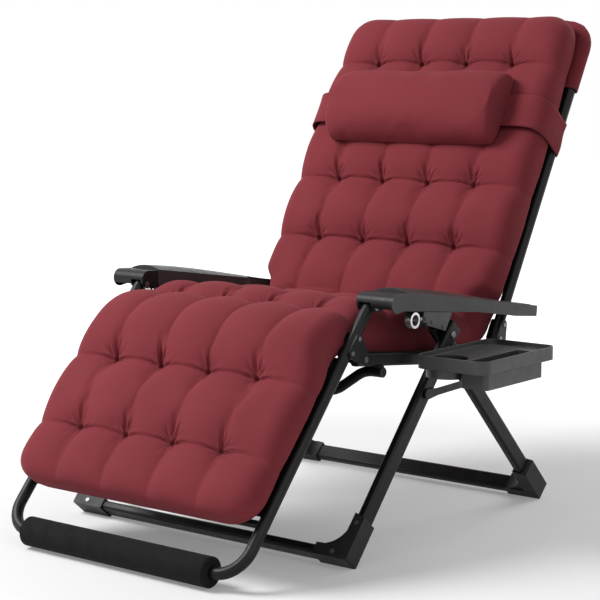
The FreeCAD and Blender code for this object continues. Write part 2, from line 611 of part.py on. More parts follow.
# ---------------------------------------------------------------------------
# Seat frame
# ---------------------------------------------------------------------------
def make_seat_frame():
    running = PIVOT / 2.0 + RUNNING
    shape = flat_tube(
        rail, -RAIL_PAST, SPAN + RAIL_PAST, TUBE_LANE, RAIL_WIDE, RAIL_TALL, RAIL_WALL, 7.0
    )
    for point, radius in ((KNEE, PIVOT / 2.0), (HIP, PIVOT / 2.0), (SEAT_PIVOT, running)):
        shape = shape.cut(rod_x(point[0], point[1], TUBE_LANE - 20, TUBE_LANE + 20, radius))
    pair("seat_rail", shape)

    plugs = []
    for s, turn in ((-RAIL_PAST, -1), (SPAN + RAIL_PAST, 1)):
        face = Part.Face(rounded_rectangle(RAIL_WIDE, RAIL_TALL, 7.0))
        lip = face.extrude(V(0, 0, PLUG * turn))
        stem_face = Part.Face(rounded_rectangle(RAIL_WIDE - 3.4, RAIL_TALL - 3.4, 5.3))
        stem = stem_face.extrude(V(0, 0, -6 * turn))
        plugs.append(placed(lip.fuse(stem), rail.at(s, 0, TUBE_LANE), V(1, 0, 0), rail.normal() * -1))
    parts["rail_end_plugs"] = both_sides(group(plugs))

    # bowed cross tube, hung under the rails
    rail_low = RAIL_TALL / 2.0
    saddle = 2.0
    tube_off = -rail_low - saddle - CROSS_TUBE / 2.0
    end_x = TUBE_LANE + RAIL_WIDE / 2.0
    down = rail.normal() * -CROSS_DROP
    end = rail.at(CROSS_AT, tube_off, end_x)
    knee = rail.at(CROSS_AT, tube_off, end_x - CROSS_STRAIGHT)
    low = rail.at(CROSS_AT, tube_off, end_x - CROSS_STRAIGHT - CROSS_SLOPE) + down
    points = [end, knee, low]
    points += [V(-p.x, p.y, p.z) for p in reversed(points)]
    parts["seat_cross_tube"] = round_tube(bent_path(points, 70.0), CROSS_TUBE, TUBE_WALL)

    fixings = []
    saddle_block = Part.makeBox(16, 18, saddle + 3, V(-8, -9, tube_off + CROSS_TUBE / 2.0 - 3))
    saddle_block = placed(saddle_block, V(end_x - 12, KNEE[0], KNEE[1]), V(1, 0, 0), rail.direction())
    saddle_block.translate(rail.direction() * CROSS_AT)
    solid_tube = swept(bent_path(points, 70.0), CROSS_TUBE / 2.0)
    fixings.append(saddle_block.cut(solid_tube))
    cap = Part.makeCylinder(CROSS_TUBE / 2.0, PLUG, end, V(1, 0, 0))
    rim = [e for e in cap.Edges if e.CenterOfMass.x > end_x + PLUG - 0.01]
    cap = cap.makeChamfer(PLUG * 0.5, rim[:1])
    stem = Part.makeCylinder(CROSS_TUBE / 2.0 - TUBE_WALL - SEAT_GAP, 8, end - V(8, 0, 0), V(1, 0, 0))
    screw = Part.makeCylinder(4.2, 1.4, end + V(PLUG, 0, 0), V(1, 0, 0))
    fixings.append(cap.fuse(stem).fuse(screw))
    parts["cross_tube_fixings"] = both_sides(group(fixings))

    # pivot bolts of knee and hip turn in the footrest's and the back's brackets
    outer = TUBE_LANE + TUBE / 2.0 + PLATE
    inner = TUBE_LANE - TUBE / 2.0 - PLATE
    pivots = []
    for point in (KNEE, HIP):
        bolt = rod_x(point[0], point[1], inner - 0.3, outer + 0.3, PIVOT / 2.0)
        head = rod_x(point[0], point[1], outer + 0.3, outer + 2.0, HEAD / 2.0 - 1.5)
        nut = rod_x(point[0], point[1], inner - 3.3, inner - 0.3, 6.5)
        rail_side = TUBE_LANE + RAIL_WIDE / 2.0
        washer = rod_x(point[0], point[1], rail_side, outer - PLATE - 0.3, 7.5)
        inner_washer = rod_x(point[0], point[1], inner + PLATE + 0.3, TUBE_LANE - RAIL_WIDE / 2.0, 7.5)
        bolt = bolt.fuse(head).fuse(nut).fuse(washer).fuse(inner_washer)
        pivots.append(bolt.removeSplitter())
    parts["rail_bolts"] = both_sides(group(pivots))


# ---------------------------------------------------------------------------
# Footrest and back frames
# ---------------------------------------------------------------------------
def link_bracket(pivot, line, s_rivets):
    """Pair of plates that carry a frame tube on the end of the seat rail."""
    running = PIVOT / 2.0 + RUNNING
    low = line.yz(s_rivets[0])
    high = line.yz(s_rivets[1])
    blade = plate_x(capsule(low, high, 11.0, 10.99), 0, PLATE)
    arm_low = plate_x(capsule(pivot, low, 13.0, 11.0), 0, PLATE)
    arm_high = plate_x(capsule(pivot, high, 13.0, 11.0), 0, PLATE)
    shape = blade.fuse(arm_low).fuse(arm_high).removeSplitter()
    shape = shape.cut(rod_x(pivot[0], pivot[1], -1, PLATE + 1, running))
    outer = shape.copy()
    outer.translate(V(TUBE_LANE + TUBE / 2.0, 0, 0))
    inner = shape.copy()
    inner.translate(V(TUBE_LANE - TUBE / 2.0 - PLATE, 0, 0))
    return both_sides(group([outer, inner]))


def bracket_rivets(line, s_rivets):
    shapes = []
    for s in s_rivets:
        for turn in (-1, 1):
            y, z = line.yz(s)
            face = TUBE_LANE + turn * (TUBE / 2.0 + PLATE)
            shapes.append(rod_x(y, z, face, face + turn * 1.8, RIVET_HEAD / 2.0))
    return both_sides(group(shapes))


def frame_plug(line, s, turn, lane=TUBE_LANE):
    """Plastic plug in the open end of a frame tube."""
    axis = line.direction() * turn
    base = line.at(s, 0, lane)
    lip = Part.makeCylinder(TUBE / 2.0, PLUG, base, axis)
    stem = Part.makeCylinder(TUBE / 2.0 - TUBE_WALL - SEAT_GAP, PLUG_STEM, base - axis * PLUG_STEM, axis)
    return lip.fuse(stem)


def u_frame(line, s_end, s_bar, holes):
    """Frame tube bent into a U: down one side, across, and up the other."""
    points = [
        line.at(s_end, 0, TUBE_LANE),
        line.at(s_bar, 0, TUBE_LANE),
        line.at(s_bar, 0, -TUBE_LANE),
        line.at(s_end, 0, -TUBE_LANE),
    ]
    shape = round_tube(bent_path(points, BEND), TUBE, TUBE_WALL)
    for point in holes:
        for lane in (-TUBE_LANE, TUBE_LANE):
            shape = shape.cut(rod_x(point[0], point[1], lane - 20, lane + 20, PIVOT / 2.0))
    return shape


def make_footrest():
    top = 11.0
    frame = u_frame(leg_rest, top, -LEG_REST_LENGTH, [ARM_FRONT])
    parts["footrest_frame"] = frame
    parts["footrest_plugs"] = both_sides(frame_plug(leg_rest, top, 1))
    s_knee = leg_rest.reach(KNEE)[0]
    rivets = [s_knee + s for s in KNEE_RIVETS]
    parts["knee_brackets"] = link_bracket(KNEE, leg_rest, rivets)
    parts["footrest_rivets"] = bracket_rivets(leg_rest, rivets)

    # tie tube butts against the side tubes
    y, z = leg_rest.yz(-TIE_AT)
    side = rod_x(y, z, -TUBE_LANE, TUBE_LANE, TIE_TUBE / 2.0)
    side = side.cut(rod_x(y, z, -TUBE_LANE, TUBE_LANE, TIE_TUBE / 2.0 - 1.2))
    for lane in (-TUBE_LANE, TUBE_LANE):
        axis = leg_rest.direction()
        bore = Part.makeCylinder(TUBE / 2.0, 80, leg_rest.at(-TIE_AT - 40, 0, lane), axis)
        side = side.cut(bore)
    parts["footrest_tie_tube"] = max(side.Solids, key=lambda s: s.Volume)

    y, z = leg_rest.yz(-LEG_REST_LENGTH)
    tube_bore = rod_x(y, z, -ROLLER_HALF - 5, ROLLER_HALF + 5, TUBE / 2.0 + ROLLER_FIT)
    foam = rod_x(y, z, -ROLLER_HALF, ROLLER_HALF, ROLLER / 2.0)
    ends = [e for e in foam.Edges if abs(abs(e.CenterOfMass.x) - ROLLER_HALF) < 0.01]
    foam = foam.makeChamfer(ROLLER_EDGE, ends)
    parts["foot_roller"] = foam.cut(tube_bore)


def make_backrest():
    s_hip = back.reach(HIP)[0]
    low = s_hip + 16
    frame = u_frame(back, low, BACK_LENGTH, [ARM_REAR])
    parts["back_frame"] = frame
    parts["back_plugs"] = both_sides(frame_plug(back, low, -1))
    rivets = [s_hip + s for s in HIP_RIVETS]
    parts["hip_brackets"] = link_bracket(HIP, back, rivets)
    parts["back_rivets"] = bracket_rivets(back, rivets)

    # bowed tube that keeps the side tubes apart, well behind the sitter
    inside = TUBE_LANE
    bow = -LUMBAR_BOW
    end = back.at(LUMBAR_AT, LUMBAR_OFF, inside)
    shoulder = back.at(LUMBAR_AT, LUMBAR_OFF, inside - LUMBAR_STRAIGHT)
    deep = back.at(LUMBAR_AT, bow, inside - LUMBAR_STRAIGHT - LUMBAR_SLOPE)
    points = [end, shoulder, deep]
    points += [V(-p.x, p.y, p.z) for p in reversed(points)]
    tube = round_tube(bent_path(points, 60.0), LUMBAR_TUBE, 1.2)
    for lane in (-TUBE_LANE, TUBE_LANE):
        bore = Part.makeCylinder(TUBE / 2.0, 80, back.at(LUMBAR_AT - 40, 0, lane), back.direction())
        tube = tube.cut(bore)
    parts["back_cross_tube"] = max(tube.Solids, key=lambda s: s.Volume)


# ---------------------------------------------------------------------------
# Armrests
# ---------------------------------------------------------------------------
def arm_outline(inset):
    """Side outline of the armrest, in its own axes: X along the pivot line, Y above it."""
    r = ARM_NOSE - inset
    nose = (5.0, 11.0)
    tail = SPAN + ARM_TAIL - inset
    slope = (ARM_FRONT_HIGH - ARM_REAR_HIGH) / (SPAN + ARM_TAIL)
    top_front = ARM_FRONT_HIGH - inset
    low = -ARM_LOW if inset == 0 else -ARM_LOW - 20
    bottom_nose = V(nose[0], nose[1] - r, 0)
    front = V(nose[0] - r, nose[1], 0)
    top_nose = V(nose[0], nose[1] + r, 0)
    crest = V(nose[0] + 34, top_front, 0)
    end_top = V(tail, top_front - slope * (tail - nose[0] - 34), 0)
    end_low = V(tail, -11.0 if inset == 0 else low, 0)
    belly_rear = V(SPAN - 60, -11.0 if inset == 0 else low, 0)
    belly = V(320, low, 0)
    neck = V(nose[0] + 24, low, 0)
    return Part.Wire([
        Part.Arc(bottom_nose, front, top_nose).toShape(),
        Part.LineSegment(top_nose, crest).toShape(),
        Part.LineSegment(crest, end_top).toShape(),
        Part.LineSegment(end_top, end_low).toShape(),
        Part.LineSegment(end_low, belly_rear).toShape(),
        Part.LineSegment(belly_rear, belly).toShape(),
        Part.LineSegment(belly, neck).toShape(),
        Part.LineSegment(neck, bottom_nose).toShape(),
    ])


def arm_local(shape):
    """From the armrest's own axes (along, above, out) to the chair."""
    turned = placed(shape, V(0, ARM_FRONT[0], ARM_FRONT[1]), arm.direction(), arm.normal())
    return turned


def arm_prism(wire, x0, x1):
    """Extrudes an outline in the armrest's axes between two lanes along X."""
    shape = Part.Face(wire).extrude(V(0, 0, x1 - x0))
    shape.translate(V(0, 0, x0))
    return shape


def arm_step(inset):
    """What the inner edge leaves out beside the back tube: a smooth slope out to a straight run."""
    start = ARM_STEP_AT - ARM_STEP_LONG - inset
    end = ARM_STEP_AT - inset
    low = ARM_IN + inset
    high = ARM_STEP_IN + inset
    tall = 60.0
    far = SPAN + 2 * ARM_TAIL
    slope = Part.BSplineCurve()
    slope.interpolate(
        Points=[V(start, -tall, low), V((start + end) / 2.0, -tall, (low + high) / 2.0), V(end, -tall, high)],
        Tangents=[V(1, 0, 0), V(2, 0, 2 * (high - low) / (end - start)), V(1, 0, 0)],
        TangentFlags=[True, False, True],
    )
    outline = Part.Wire([
        slope.toShape(),
        Part.LineSegment(V(end, -tall, high), V(far, -tall, high)).toShape(),
        Part.LineSegment(V(far, -tall, high), V(far, -tall, ARM_IN - 10)).toShape(),
        Part.LineSegment(V(far, -tall, ARM_IN - 10), V(start, -tall, ARM_IN - 10)).toShape(),
        Part.LineSegment(V(start, -tall, ARM_IN - 10), V(start, -tall, low)).toShape(),
    ])
    return Part.Face(outline).extrude(V(0, 2 * tall, 0))


def track_rod(radius, past):
    """The track under the armrest, in its own axes, or a bore along it that runs past both ends."""
    start = V(TRACK_FROM - past, TRACK_HIGH, REAR_LANE)
    return Part.makeCylinder(radius, TRACK_TO + 4 - TRACK_FROM + 2 * past, start, V(1, 0, 0))


def make_armrest():
    outer = arm_prism(arm_outline(0), ARM_IN, ARM_OUT)
    outer = outer.cut(arm_step(0.0))
    hollow = arm_prism(arm_outline(ARM_WALL), ARM_IN + ARM_WALL, ARM_OUT - ARM_WALL)
    hollow = hollow.cut(arm_step(ARM_WALL))
    shell = outer.cut(hollow)

    # boss that takes the rear pivot, inner rib beside the front one
    boss = Part.makeBox(36, 21.5, 14, V(SPAN - 18, -11, ARM_STEP_IN))
    boss = boss.common(outer)
    rib_out = TUBE_LANE + TUBE / 2.0 + 3 + ARM_WALL
    rib = Part.makeBox(58, 60, ARM_WALL, V(-20, -30, rib_out - ARM_WALL)).common(outer)
    shell = shell.fuse(boss).fuse(rib)
    for s in (TRACK_FROM - 3, TRACK_TO):
        post = Part.makeBox(8, 26, 18, V(s, TRACK_HIGH - 9, REAR_LANE - 9)).common(outer)
        shell = shell.fuse(post)
    shell = shell.cut(track_rod(TRACK / 2.0, 0.0))

    # the footrest tube swings in a slot under the nose
    clear = 1.8
    half = TUBE / 2.0 + clear
    slot = Part.makeCylinder(half + 2.4, 2 * half, V(0, 0, TUBE_LANE - half), V(0, 0, 1))
    for swing in (0.0, RECLINE * 0.5, RECLINE):
        lean = math.radians(180 + LEG_REST_RISE + SEAT_SLOPE - swing)
        run = Part.makeBox(70, 2 * half, 2 * half, V(0, -half, TUBE_LANE - half))
        run.rotate(V(0, 0, 0), V(0, 0, 1), math.degrees(lean))
        slot = slot.fuse(run)
    shell = shell.cut(slot)
    # open underneath the nose, where the lock's lever passes
    belly = Part.makeBox(60, 40, ARM_OUT - ARM_WALL - rib_out, V(-25, -41, rib_out))
    shell = shell.cut(belly)
    bolt_hole = Part.makeCylinder(PIVOT / 2.0 + RUNNING, 60, V(0, 0, ARM_IN - 5), V(0, 0, 1))
    shell = shell.cut(bolt_hole)
    rear_hole = Part.makeCylinder(PIVOT / 2.0 + 0.3, 40, V(SPAN, 0, ARM_STEP_IN - 20), V(0, 0, 1))
    shell = shell.cut(rear_hole)
    pair("armrest", arm_local(shell.removeSplitter()))


def pad_section(s, high, x0, x1):
    """Closed section across the armrest: flat below, an arc above."""
    slope = (ARM_FRONT_HIGH - ARM_REAR_HIGH) / (SPAN + ARM_TAIL)
    base = ARM_FRONT_HIGH - slope * max(s - 39.0, 0.0)
    a = V(s, base, x0)
    b = V(s, base, x1)
    edge = 1.2
    a1 = V(s, base + edge, x0)
    b1 = V(s, base + edge, x1)
    top = V(s, base + edge + high, (x0 + x1) / 2.0)
    return Part.Wire([
        Part.LineSegment(a, b).toShape(),
        Part.LineSegment(b, b1).toShape(),
        Part.Arc(b1, top, a1).toShape(),
        Part.LineSegment(a1, a).toShape(),
    ])


def make_arm_pad():
    """Crowned top moulding: highest over the front third, running out to nothing at the rear."""
    sections = []
    x0 = ARM_IN + 3
    x1 = ARM_OUT - 3
    count = 11
    for i in range(count):
        t = i / (count - 1.0)
        s = PAD_FROM + (PAD_TO - PAD_FROM) * t
        high = max(CROWN * math.sin(math.pi * min(1.0, 0.12 + 0.95 * t) ** 0.62), 1.6)
        sections.append(pad_section(s, high, x0, x1))
    pad = Part.makeLoft(sections, True, False)
    pad = pad.cut(arm_step(x0 - ARM_IN))
    pair("arm_pad", arm_local(pad))


def make_arm_fittings():
    parts["lock_tracks"] = both_sides(arm_local(track_rod(TRACK / 2.0, 0.0)))

    # front bolts turn with the footrest tube
    outer = TUBE_LANE + TUBE / 2.0 + 3 + ARM_WALL
    y, z = ARM_FRONT
    bolt = rod_x(y, z, ARM_IN - 0.3, outer + 0.3, PIVOT / 2.0)
    head = rod_x(y, z, ARM_IN - 0.3 - HEAD_TALL, ARM_IN - 0.3, HEAD / 2.0 - 2)
    nut = rod_x(y, z, outer + 0.3, outer + 4, 6.5)
    parts["arm_front_bolts"] = both_sides(bolt.fuse(head).fuse(nut).removeSplitter())

    # rear bolts are fixed in the back frame and turn in the armrest's boss
    y, z = ARM_REAR
    tube_in = TUBE_LANE - TUBE / 2.0
    tube_out = TUBE_LANE + TUBE / 2.0
    bolt = rod_x(y, z, tube_in - 0.3, ARM_STEP_IN + 13, PIVOT / 2.0)
    head = rod_x(y, z, tube_in - 3.3, tube_in - 0.3, 7.0)
    collar = rod_x(y, z, tube_out + 0.3, ARM_STEP_IN - 0.3, 7.0)
    parts["arm_rear_bolts"] = both_sides(bolt.fuse(head).fuse(collar).removeSplitter())


# ---------------------------------------------------------------------------
# Locks
# ---------------------------------------------------------------------------


def make_lock():
    """Clamp housing: two side plates and a web, which rides the track under the armrest."""
    front = LOCK_FRONT
    rear = LOCK_FRONT + LOCK_LONG
    top = LOCK_TOP
    low = LOCK_TOP - LOCK_TALL + 4
    outline = [(front, top), (rear, top), (rear - 20, low), (front + 4, low + 12)]
    side = Part.makePolygon([V(a, b, 0) for a, b in outline + outline[:1]])
    solid = Part.Face(side).extrude(V(0, 0, LOCK_OUT - LOCK_IN))
    solid.translate(V(0, 0, LOCK_IN))
    cavity = Part.makeBox(
        LOCK_LONG + 60, LOCK_TALL + 40, LOCK_OUT - LOCK_IN - 8, V(front + 5, low - 40, LOCK_IN + 4)
    )
    keep = Part.makeBox(LOCK_LONG + 60, LOCK_TALL, 80, V(front - 20, top - 3.5, LOCK_IN - 10))
    cavity = cavity.cut(keep)
    shape = solid.cut(cavity)
    ears = []
    for s in (front + 8, rear - 22):
        stem = Part.makeBox(12, TRACK_HIGH - top + 1, 14, V(s, top - 1, REAR_LANE - 7))
        ring = Part.makeCylinder(8.2, 12, V(s, TRACK_HIGH, REAR_LANE), V(1, 0, 0))
        ears.append(stem.fuse(ring))
    for ear in ears:
        shape = shape.fuse(ear)
    shape = shape.cut(track_rod(TRACK / 2.0 + RUNNING, 20.0))
    # fork that carries the lever
    s, b = LEVER_PIVOT
    fork_x = LOCK_OUT - 4 - LEVER_WIDE - 1.2
    cam_room = Part.makeCylinder(CAM + 0.8, LEVER_WIDE + 1.2, V(s, b, fork_x), V(0, 0, 1))
    shape = shape.cut(cam_room)
    cheek_a = Part.makeBox(14, 22, 3.2, V(s - 7, b - 8, fork_x - 3.2))
    cheek_b = Part.makeBox(14, 22, 3.2, V(s - 7, b - 8, LOCK_OUT - 3.2))
    bridge = Part.makeBox(8, 5, LOCK_OUT - fork_x + 3.2, V(s - 1, b + 9, fork_x - 3.2))
    shape = shape.fuse(cheek_a).fuse(cheek_b).fuse(bridge)
    pin_bore = Part.makeCylinder(3.0, LOCK_OUT - fork_x + 8, V(s, b, fork_x - 4), V(0, 0, 1))
    shape = shape.cut(pin_bore)
    pair("lock", arm_local(shape.removeSplitter()))

    pin = Part.makeCylinder(3.0, LOCK_OUT - fork_x + 3.2, V(s, b, fork_x - 3.2), V(0, 0, 1))
    pin_head = Part.makeCylinder(4.2, 1.2, V(s, b, LOCK_OUT), V(0, 0, 1))
    rivets = [pin.fuse(pin_head)]
    for a, h in ((front + 22, low + 18), (rear - 30, low + 8)):
        rivets.append(Part.makeCylinder(3.6, 1.0, V(a, h, LOCK_OUT), V(0, 0, 1)))
    parts["lock_pins"] = both_sides(arm_local(group(rivets)))

    # flip lever: a ring to pull, on a cam that turns on the pin
    ring_s = s - LEVER_REACH
    ring_b = b - 4
    x0 = fork_x + 0.6
    wide = LEVER_WIDE
    ring = Part.makeCylinder(LEVER_RING / 2.0, wide, V(ring_s, ring_b, x0), V(0, 0, 1))
    cam = Part.makeCylinder(CAM, wide, V(s, b, x0), V(0, 0, 1))
    neck = Part.makeBox(LEVER_REACH - 4, 8, wide - 4, V(ring_s + 4, b - 6, x0 + 2))
    lever = ring.fuse(neck).fuse(cam)
    hole = Part.makeCylinder(LEVER_BORE / 2.0, wide + 4, V(ring_s, ring_b, x0 - 2), V(0, 0, 1))
    lever = lever.cut(hole)
    lever = lever.cut(Part.makeCylinder(3.0 + RUNNING, wide + 4, V(s, b, x0 - 2), V(0, 0, 1)))
    pair("lock_lever", arm_local(lever.removeSplitter()))


# ---------------------------------------------------------------------------
# Side tray
# ---------------------------------------------------------------------------
def plan(x0, x1, y0, y1, radius, z):
    wire = rounded_rectangle(x1 - x0, y1 - y0, radius)
    wire.translate(V((x0 + x1) / 2.0, (y0 + y1) / 2.0, z))
    return wire


def prism(wire, height):
    return Part.Face(wire).extrude(V(0, 0, height))


def tray_plan(inset, z):
    return plan(
        TRAY_IN + inset, TRAY_OUT - inset, TRAY_FRONT + inset, TRAY_REAR - inset, TRAY_CORNER - inset, z
    )


def make_tray():
    """Moulded side tray: a rimmed shelf with a cup well and a deep bin for a tablet."""
    rim_low = TRAY_TOP - TRAY_RIM
    shelf = TRAY_TOP - 10
    t = TRAY_WALL
    body = prism(tray_plan(0.0, rim_low), TRAY_RIM)
    body = body.cut(prism(tray_plan(t, rim_low - 1), shelf - t - rim_low + 1))
    body = body.cut(prism(tray_plan(t, shelf), TRAY_RIM))
    # deep bin on the outer side
    bin_out = TRAY_OUT - 8
    bin_front = TRAY_FRONT + 22
    bin_outer = prism(plan(BIN_IN, bin_out, bin_front, BIN_REAR, 10, BIN_FLOOR), shelf - BIN_FLOOR)
    bin_inner = prism(
        plan(BIN_IN + t, bin_out - t, bin_front + t, BIN_REAR - t, 7, BIN_FLOOR + t), shelf - BIN_FLOOR + 20
    )
    # cup well on the inner side
    cup_x = TRAY_IN + 6 + CUP_BORE / 2.0
    cup_y = TRAY_FRONT + 14 + CUP_BORE / 2.0
    cup_outer = Part.makeCylinder(CUP_BORE / 2.0 + t, shelf - CUP_FLOOR, V(cup_x, cup_y, CUP_FLOOR))
    cup_inner = Part.makeCylinder(CUP_BORE / 2.0, 80, V(cup_x, cup_y, CUP_FLOOR + t))
    body = body.fuse(bin_outer).fuse(cup_outer).cut(bin_inner).cut(cup_inner)
    # socket ribs that drop over the hanger's tongue
    y0, z0 = TRAY_HANG
    gap = 0.4
    cheek = box(TRAY_IN - 8, TRAY_IN, y0 - 34, y0 + 34, z0 - 14, TRAY_TOP - 2)
    tongue_room = box(
        HANGER_OUT - HANGER_TONGUE - gap, HANGER_OUT + gap, y0 - 24 - gap, y0 + 24 + gap, z0 - 30, z0 + 12 + gap
    )
    neck_room = box(TRAY_IN - 20, HANGER_OUT, y0 - 14, y0 + 14, z0 - 30, z0 + 12 + gap)
    cheek = cheek.cut(tongue_room).cut(neck_room)
    body = body.fuse(cheek)
    parts["side_tray"] = body.removeSplitter()

    leg_face = FRONT_LANE + LEG_THICK / 2.0
    plate = box(leg_face, leg_face + 2, y0 - 14, y0 + 14, z0 - 22, z0 + 12)
    tongue = box(HANGER_OUT - HANGER_TONGUE, HANGER_OUT, y0 - 24, y0 + 24, z0 - 22, z0 + 12)
    arm_block = box(leg_face, HANGER_OUT, y0 - 12, y0 + 12, z0 - 22, z0 + 12)
    parts["tray_hanger"] = plate.fuse(tongue).fuse(arm_block).removeSplitter()




# ---------------------------------------------------------------------------
# Soft parts
# ---------------------------------------------------------------------------
def make_soft():
    seat_rest = SEAT_SLING_LOW + SLING_THICK + SOFT_GAP
    # the footrest's cushion lies on the tie tube with its rounded lower end
    touch = PAD_ROUND + TIE_TUBE / 2.0 + SOFT_GAP
    past_tie = LEG_PAD_FROM + PAD_ROUND + TIE_AT
    leg_rest_low = math.sqrt(touch ** 2 - past_tie ** 2) - PAD_ROUND
    back_rest_low = TUBE / 2.0 + SOFT_GAP
    parts["leg_cushion"] = slab(
        leg_rest, LEG_PAD_FROM, LEG_PAD_TO, leg_rest_low, PAD_TOP, PAD_HALF, PAD_ROUND
    )
    parts["seat_cushion"] = slab(rail, SEAT_PAD_FROM, SEAT_PAD_TO, seat_rest, SEAT_TOP, PAD_HALF, PAD_ROUND)
    parts["back_cushion"] = slab(
        back, BACK_PAD_FROM, BACK_PAD_TO, back_rest_low, BACK_TOP, PAD_HALF, PAD_ROUND
    )
    high = SLING_LOW + SLING_THICK
    seat_high = SEAT_SLING_LOW + SLING_THICK
    half = TUBE_LANE - TUBE / 2.0 - SOFT_GAP
    seat_half = TUBE_LANE - RAIL_WIDE / 2.0 - SOFT_GAP
    parts["leg_sling"] = slab(leg_rest, -TIE_AT + TIE_TUBE, LEG_SLING_TOP, SLING_LOW, high, half)
    parts["seat_sling"] = slab(rail, SEAT_SLING_IN, SPAN - SEAT_SLING_IN, SEAT_SLING_LOW, seat_high, seat_half)
    back_from = LUMBAR_AT + LUMBAR_TUBE / 2.0 + SOFT_GAP
    parts["back_sling"] = slab(back, back_from, BACK_LENGTH - BEND - 4, SLING_LOW, high, half)

    # pocket that hooks the cushion over the top of the back frame
    inside = TUBE / 2.0 + 0.6
    thick = 4.0
    top = BACK_LENGTH + inside
    rear = slab(back, top - POCKET_DROP, top, -inside - thick, -inside, TUBE_LANE + 14)
    roof = slab(back, top, top + thick, -inside - thick, TUBE / 2.0, TUBE_LANE + 14)
    parts["cushion_pocket"] = rear.fuse(roof).removeSplitter()

    # pillow: flat towards the cushion, round in front
    base = BACK_TOP + STRAP_THICK + 2 * SOFT_GAP
    half = PILLOW_TALL / 2.0
    a = V(0, PILLOW_AT - half, base)
    b = V(0, PILLOW_AT - half, base + 12)
    crown = V(0, PILLOW_AT, base + PILLOW_DEEP)
    c = V(0, PILLOW_AT + half, base + 12)
    d = V(0, PILLOW_AT + half, base)
    outline = Part.Wire([
        Part.LineSegment(a, b).toShape(),
        Part.Arc(b, crown, c).toShape(),
        Part.LineSegment(c, d).toShape(),
        Part.LineSegment(d, a).toShape(),
    ])
    face = Part.Face(outline)
    face.translate(V(-PILLOW_HALF, 0, 0))
    pillow = face.extrude(V(2 * PILLOW_HALF, 0, 0))
    parts["head_pillow"] = placed(pillow, V(0, back.start[0], back.start[1]), V(1, 0, 0), back.direction())

    # elastic strap round cushion and frame
    strap_in = TUBE_LANE + TUBE / 2.0 + SOFT_GAP
    front_off = BACK_TOP + SOFT_GAP
    rear_off = -TUBE / 2.0 - SOFT_GAP
    s0 = PILLOW_AT - STRAP_TALL / 2.0 - 12
    s1 = s0 + STRAP_TALL
    hole = Part.makeBox(2 * strap_in, s1 - s0 + 2, front_off - rear_off, V(-strap_in, s0 - 1, rear_off))
    t = STRAP_THICK
    loop = Part.makeBox(
        2 * (strap_in + t), s1 - s0, front_off - rear_off + 2 * t, V(-strap_in - t, s0, rear_off - t)
    )
    strap = loop.cut(hole)
    parts["pillow_strap"] = placed(strap, V(0, back.start[0], back.start[1]), V(1, 0, 0), back.direction())


# ---------------------------------------------------------------------------
# Build
# ---------------------------------------------------------------------------
def build():
    make_leg_frames()
    make_leg_pivots()
    make_stays()
    make_seat_frame()
    make_footrest()
    make_backrest()
    make_armrest()
    make_arm_pad()
    make_arm_fittings()
    make_lock()
    make_tray()
    make_soft()
    os.makedirs("parts", exist_ok=True)
    for name in sorted(parts):
        shape = parts[name]
        box_ = shape.BoundBox
        print(
            "%-20s solids %2d valid %s volume %9.0f x %6.0f..%-6.0f y %6.0f..%-6.0f z %6.0f..%-6.0f"
            % (name, len(shape.Solids), shape.isValid(), shape.Volume,
               box_.XMin, box_.XMax, box_.YMin, box_.YMax, box_.ZMin, box_.ZMax)
        )
        shape.exportStep("parts/" + name + ".step")
    print(len(parts), "nodes")


build()
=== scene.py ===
import random
from math import atan2, cos, exp, hypot, pi, radians, sin, sqrt

import bmesh
import bpy
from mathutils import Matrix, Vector


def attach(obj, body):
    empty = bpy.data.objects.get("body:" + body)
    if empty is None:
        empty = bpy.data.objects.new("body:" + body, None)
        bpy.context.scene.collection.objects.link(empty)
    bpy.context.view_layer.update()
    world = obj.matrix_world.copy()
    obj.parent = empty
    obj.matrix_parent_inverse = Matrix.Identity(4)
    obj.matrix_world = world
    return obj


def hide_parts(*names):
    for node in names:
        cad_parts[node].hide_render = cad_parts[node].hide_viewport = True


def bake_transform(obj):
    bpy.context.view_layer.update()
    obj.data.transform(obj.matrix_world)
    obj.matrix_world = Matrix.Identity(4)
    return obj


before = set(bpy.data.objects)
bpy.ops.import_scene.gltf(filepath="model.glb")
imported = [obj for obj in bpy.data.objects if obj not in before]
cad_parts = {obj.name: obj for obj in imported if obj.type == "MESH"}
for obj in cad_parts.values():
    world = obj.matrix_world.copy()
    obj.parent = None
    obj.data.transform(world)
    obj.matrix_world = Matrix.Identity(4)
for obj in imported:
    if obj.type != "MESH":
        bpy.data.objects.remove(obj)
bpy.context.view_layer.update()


# ---------------------------------------------------------------------------
# The studio: a pale floor, a large soft lamp from the sitter's right and front,
# a weaker one from the tray's side, and a viewer standing at the foot end.
# ---------------------------------------------------------------------------
VIEWER_PLACE = (2.4807, -3.1865, 1.0020)
VIEWER_DOWN = 7.417                     # degrees below level
VIEWER_TURN = 38.43                     # degrees round from straight ahead
VIEWER_LENS = 108.08
CHAIR_MIDDLE = (0.0, 0.0, 0.5)
ROOM_LIGHT = 0.25
FLOOR_SIZE = 14.0
FLOOR_PAINT = (0.82, 0.82, 0.82, 1.0)
FLOOR_NEAR = 0.9                        # the floor is darkest inside this distance
FLOOR_FAR = 3.2                         # and white past this one
FLOOR_NEAR_GLOW = 0.20


def put(name, data):
    """An object in the scene, at the origin."""
    thing = bpy.data.objects.new(name, data)
    bpy.context.scene.collection.objects.link(thing)
    return thing


def new_piece(name, shape, material=None, smooth=None):
    """A piece made of a finished shape, all smooth, all flat, or as its faces already are."""
    mesh = bpy.data.meshes.new(name)
    shape.to_mesh(mesh)
    shape.free()
    if smooth is not None:
        for face in mesh.polygons:
            face.use_smooth = smooth
    if material:
        mesh.materials.append(material)
    return put(name, mesh)


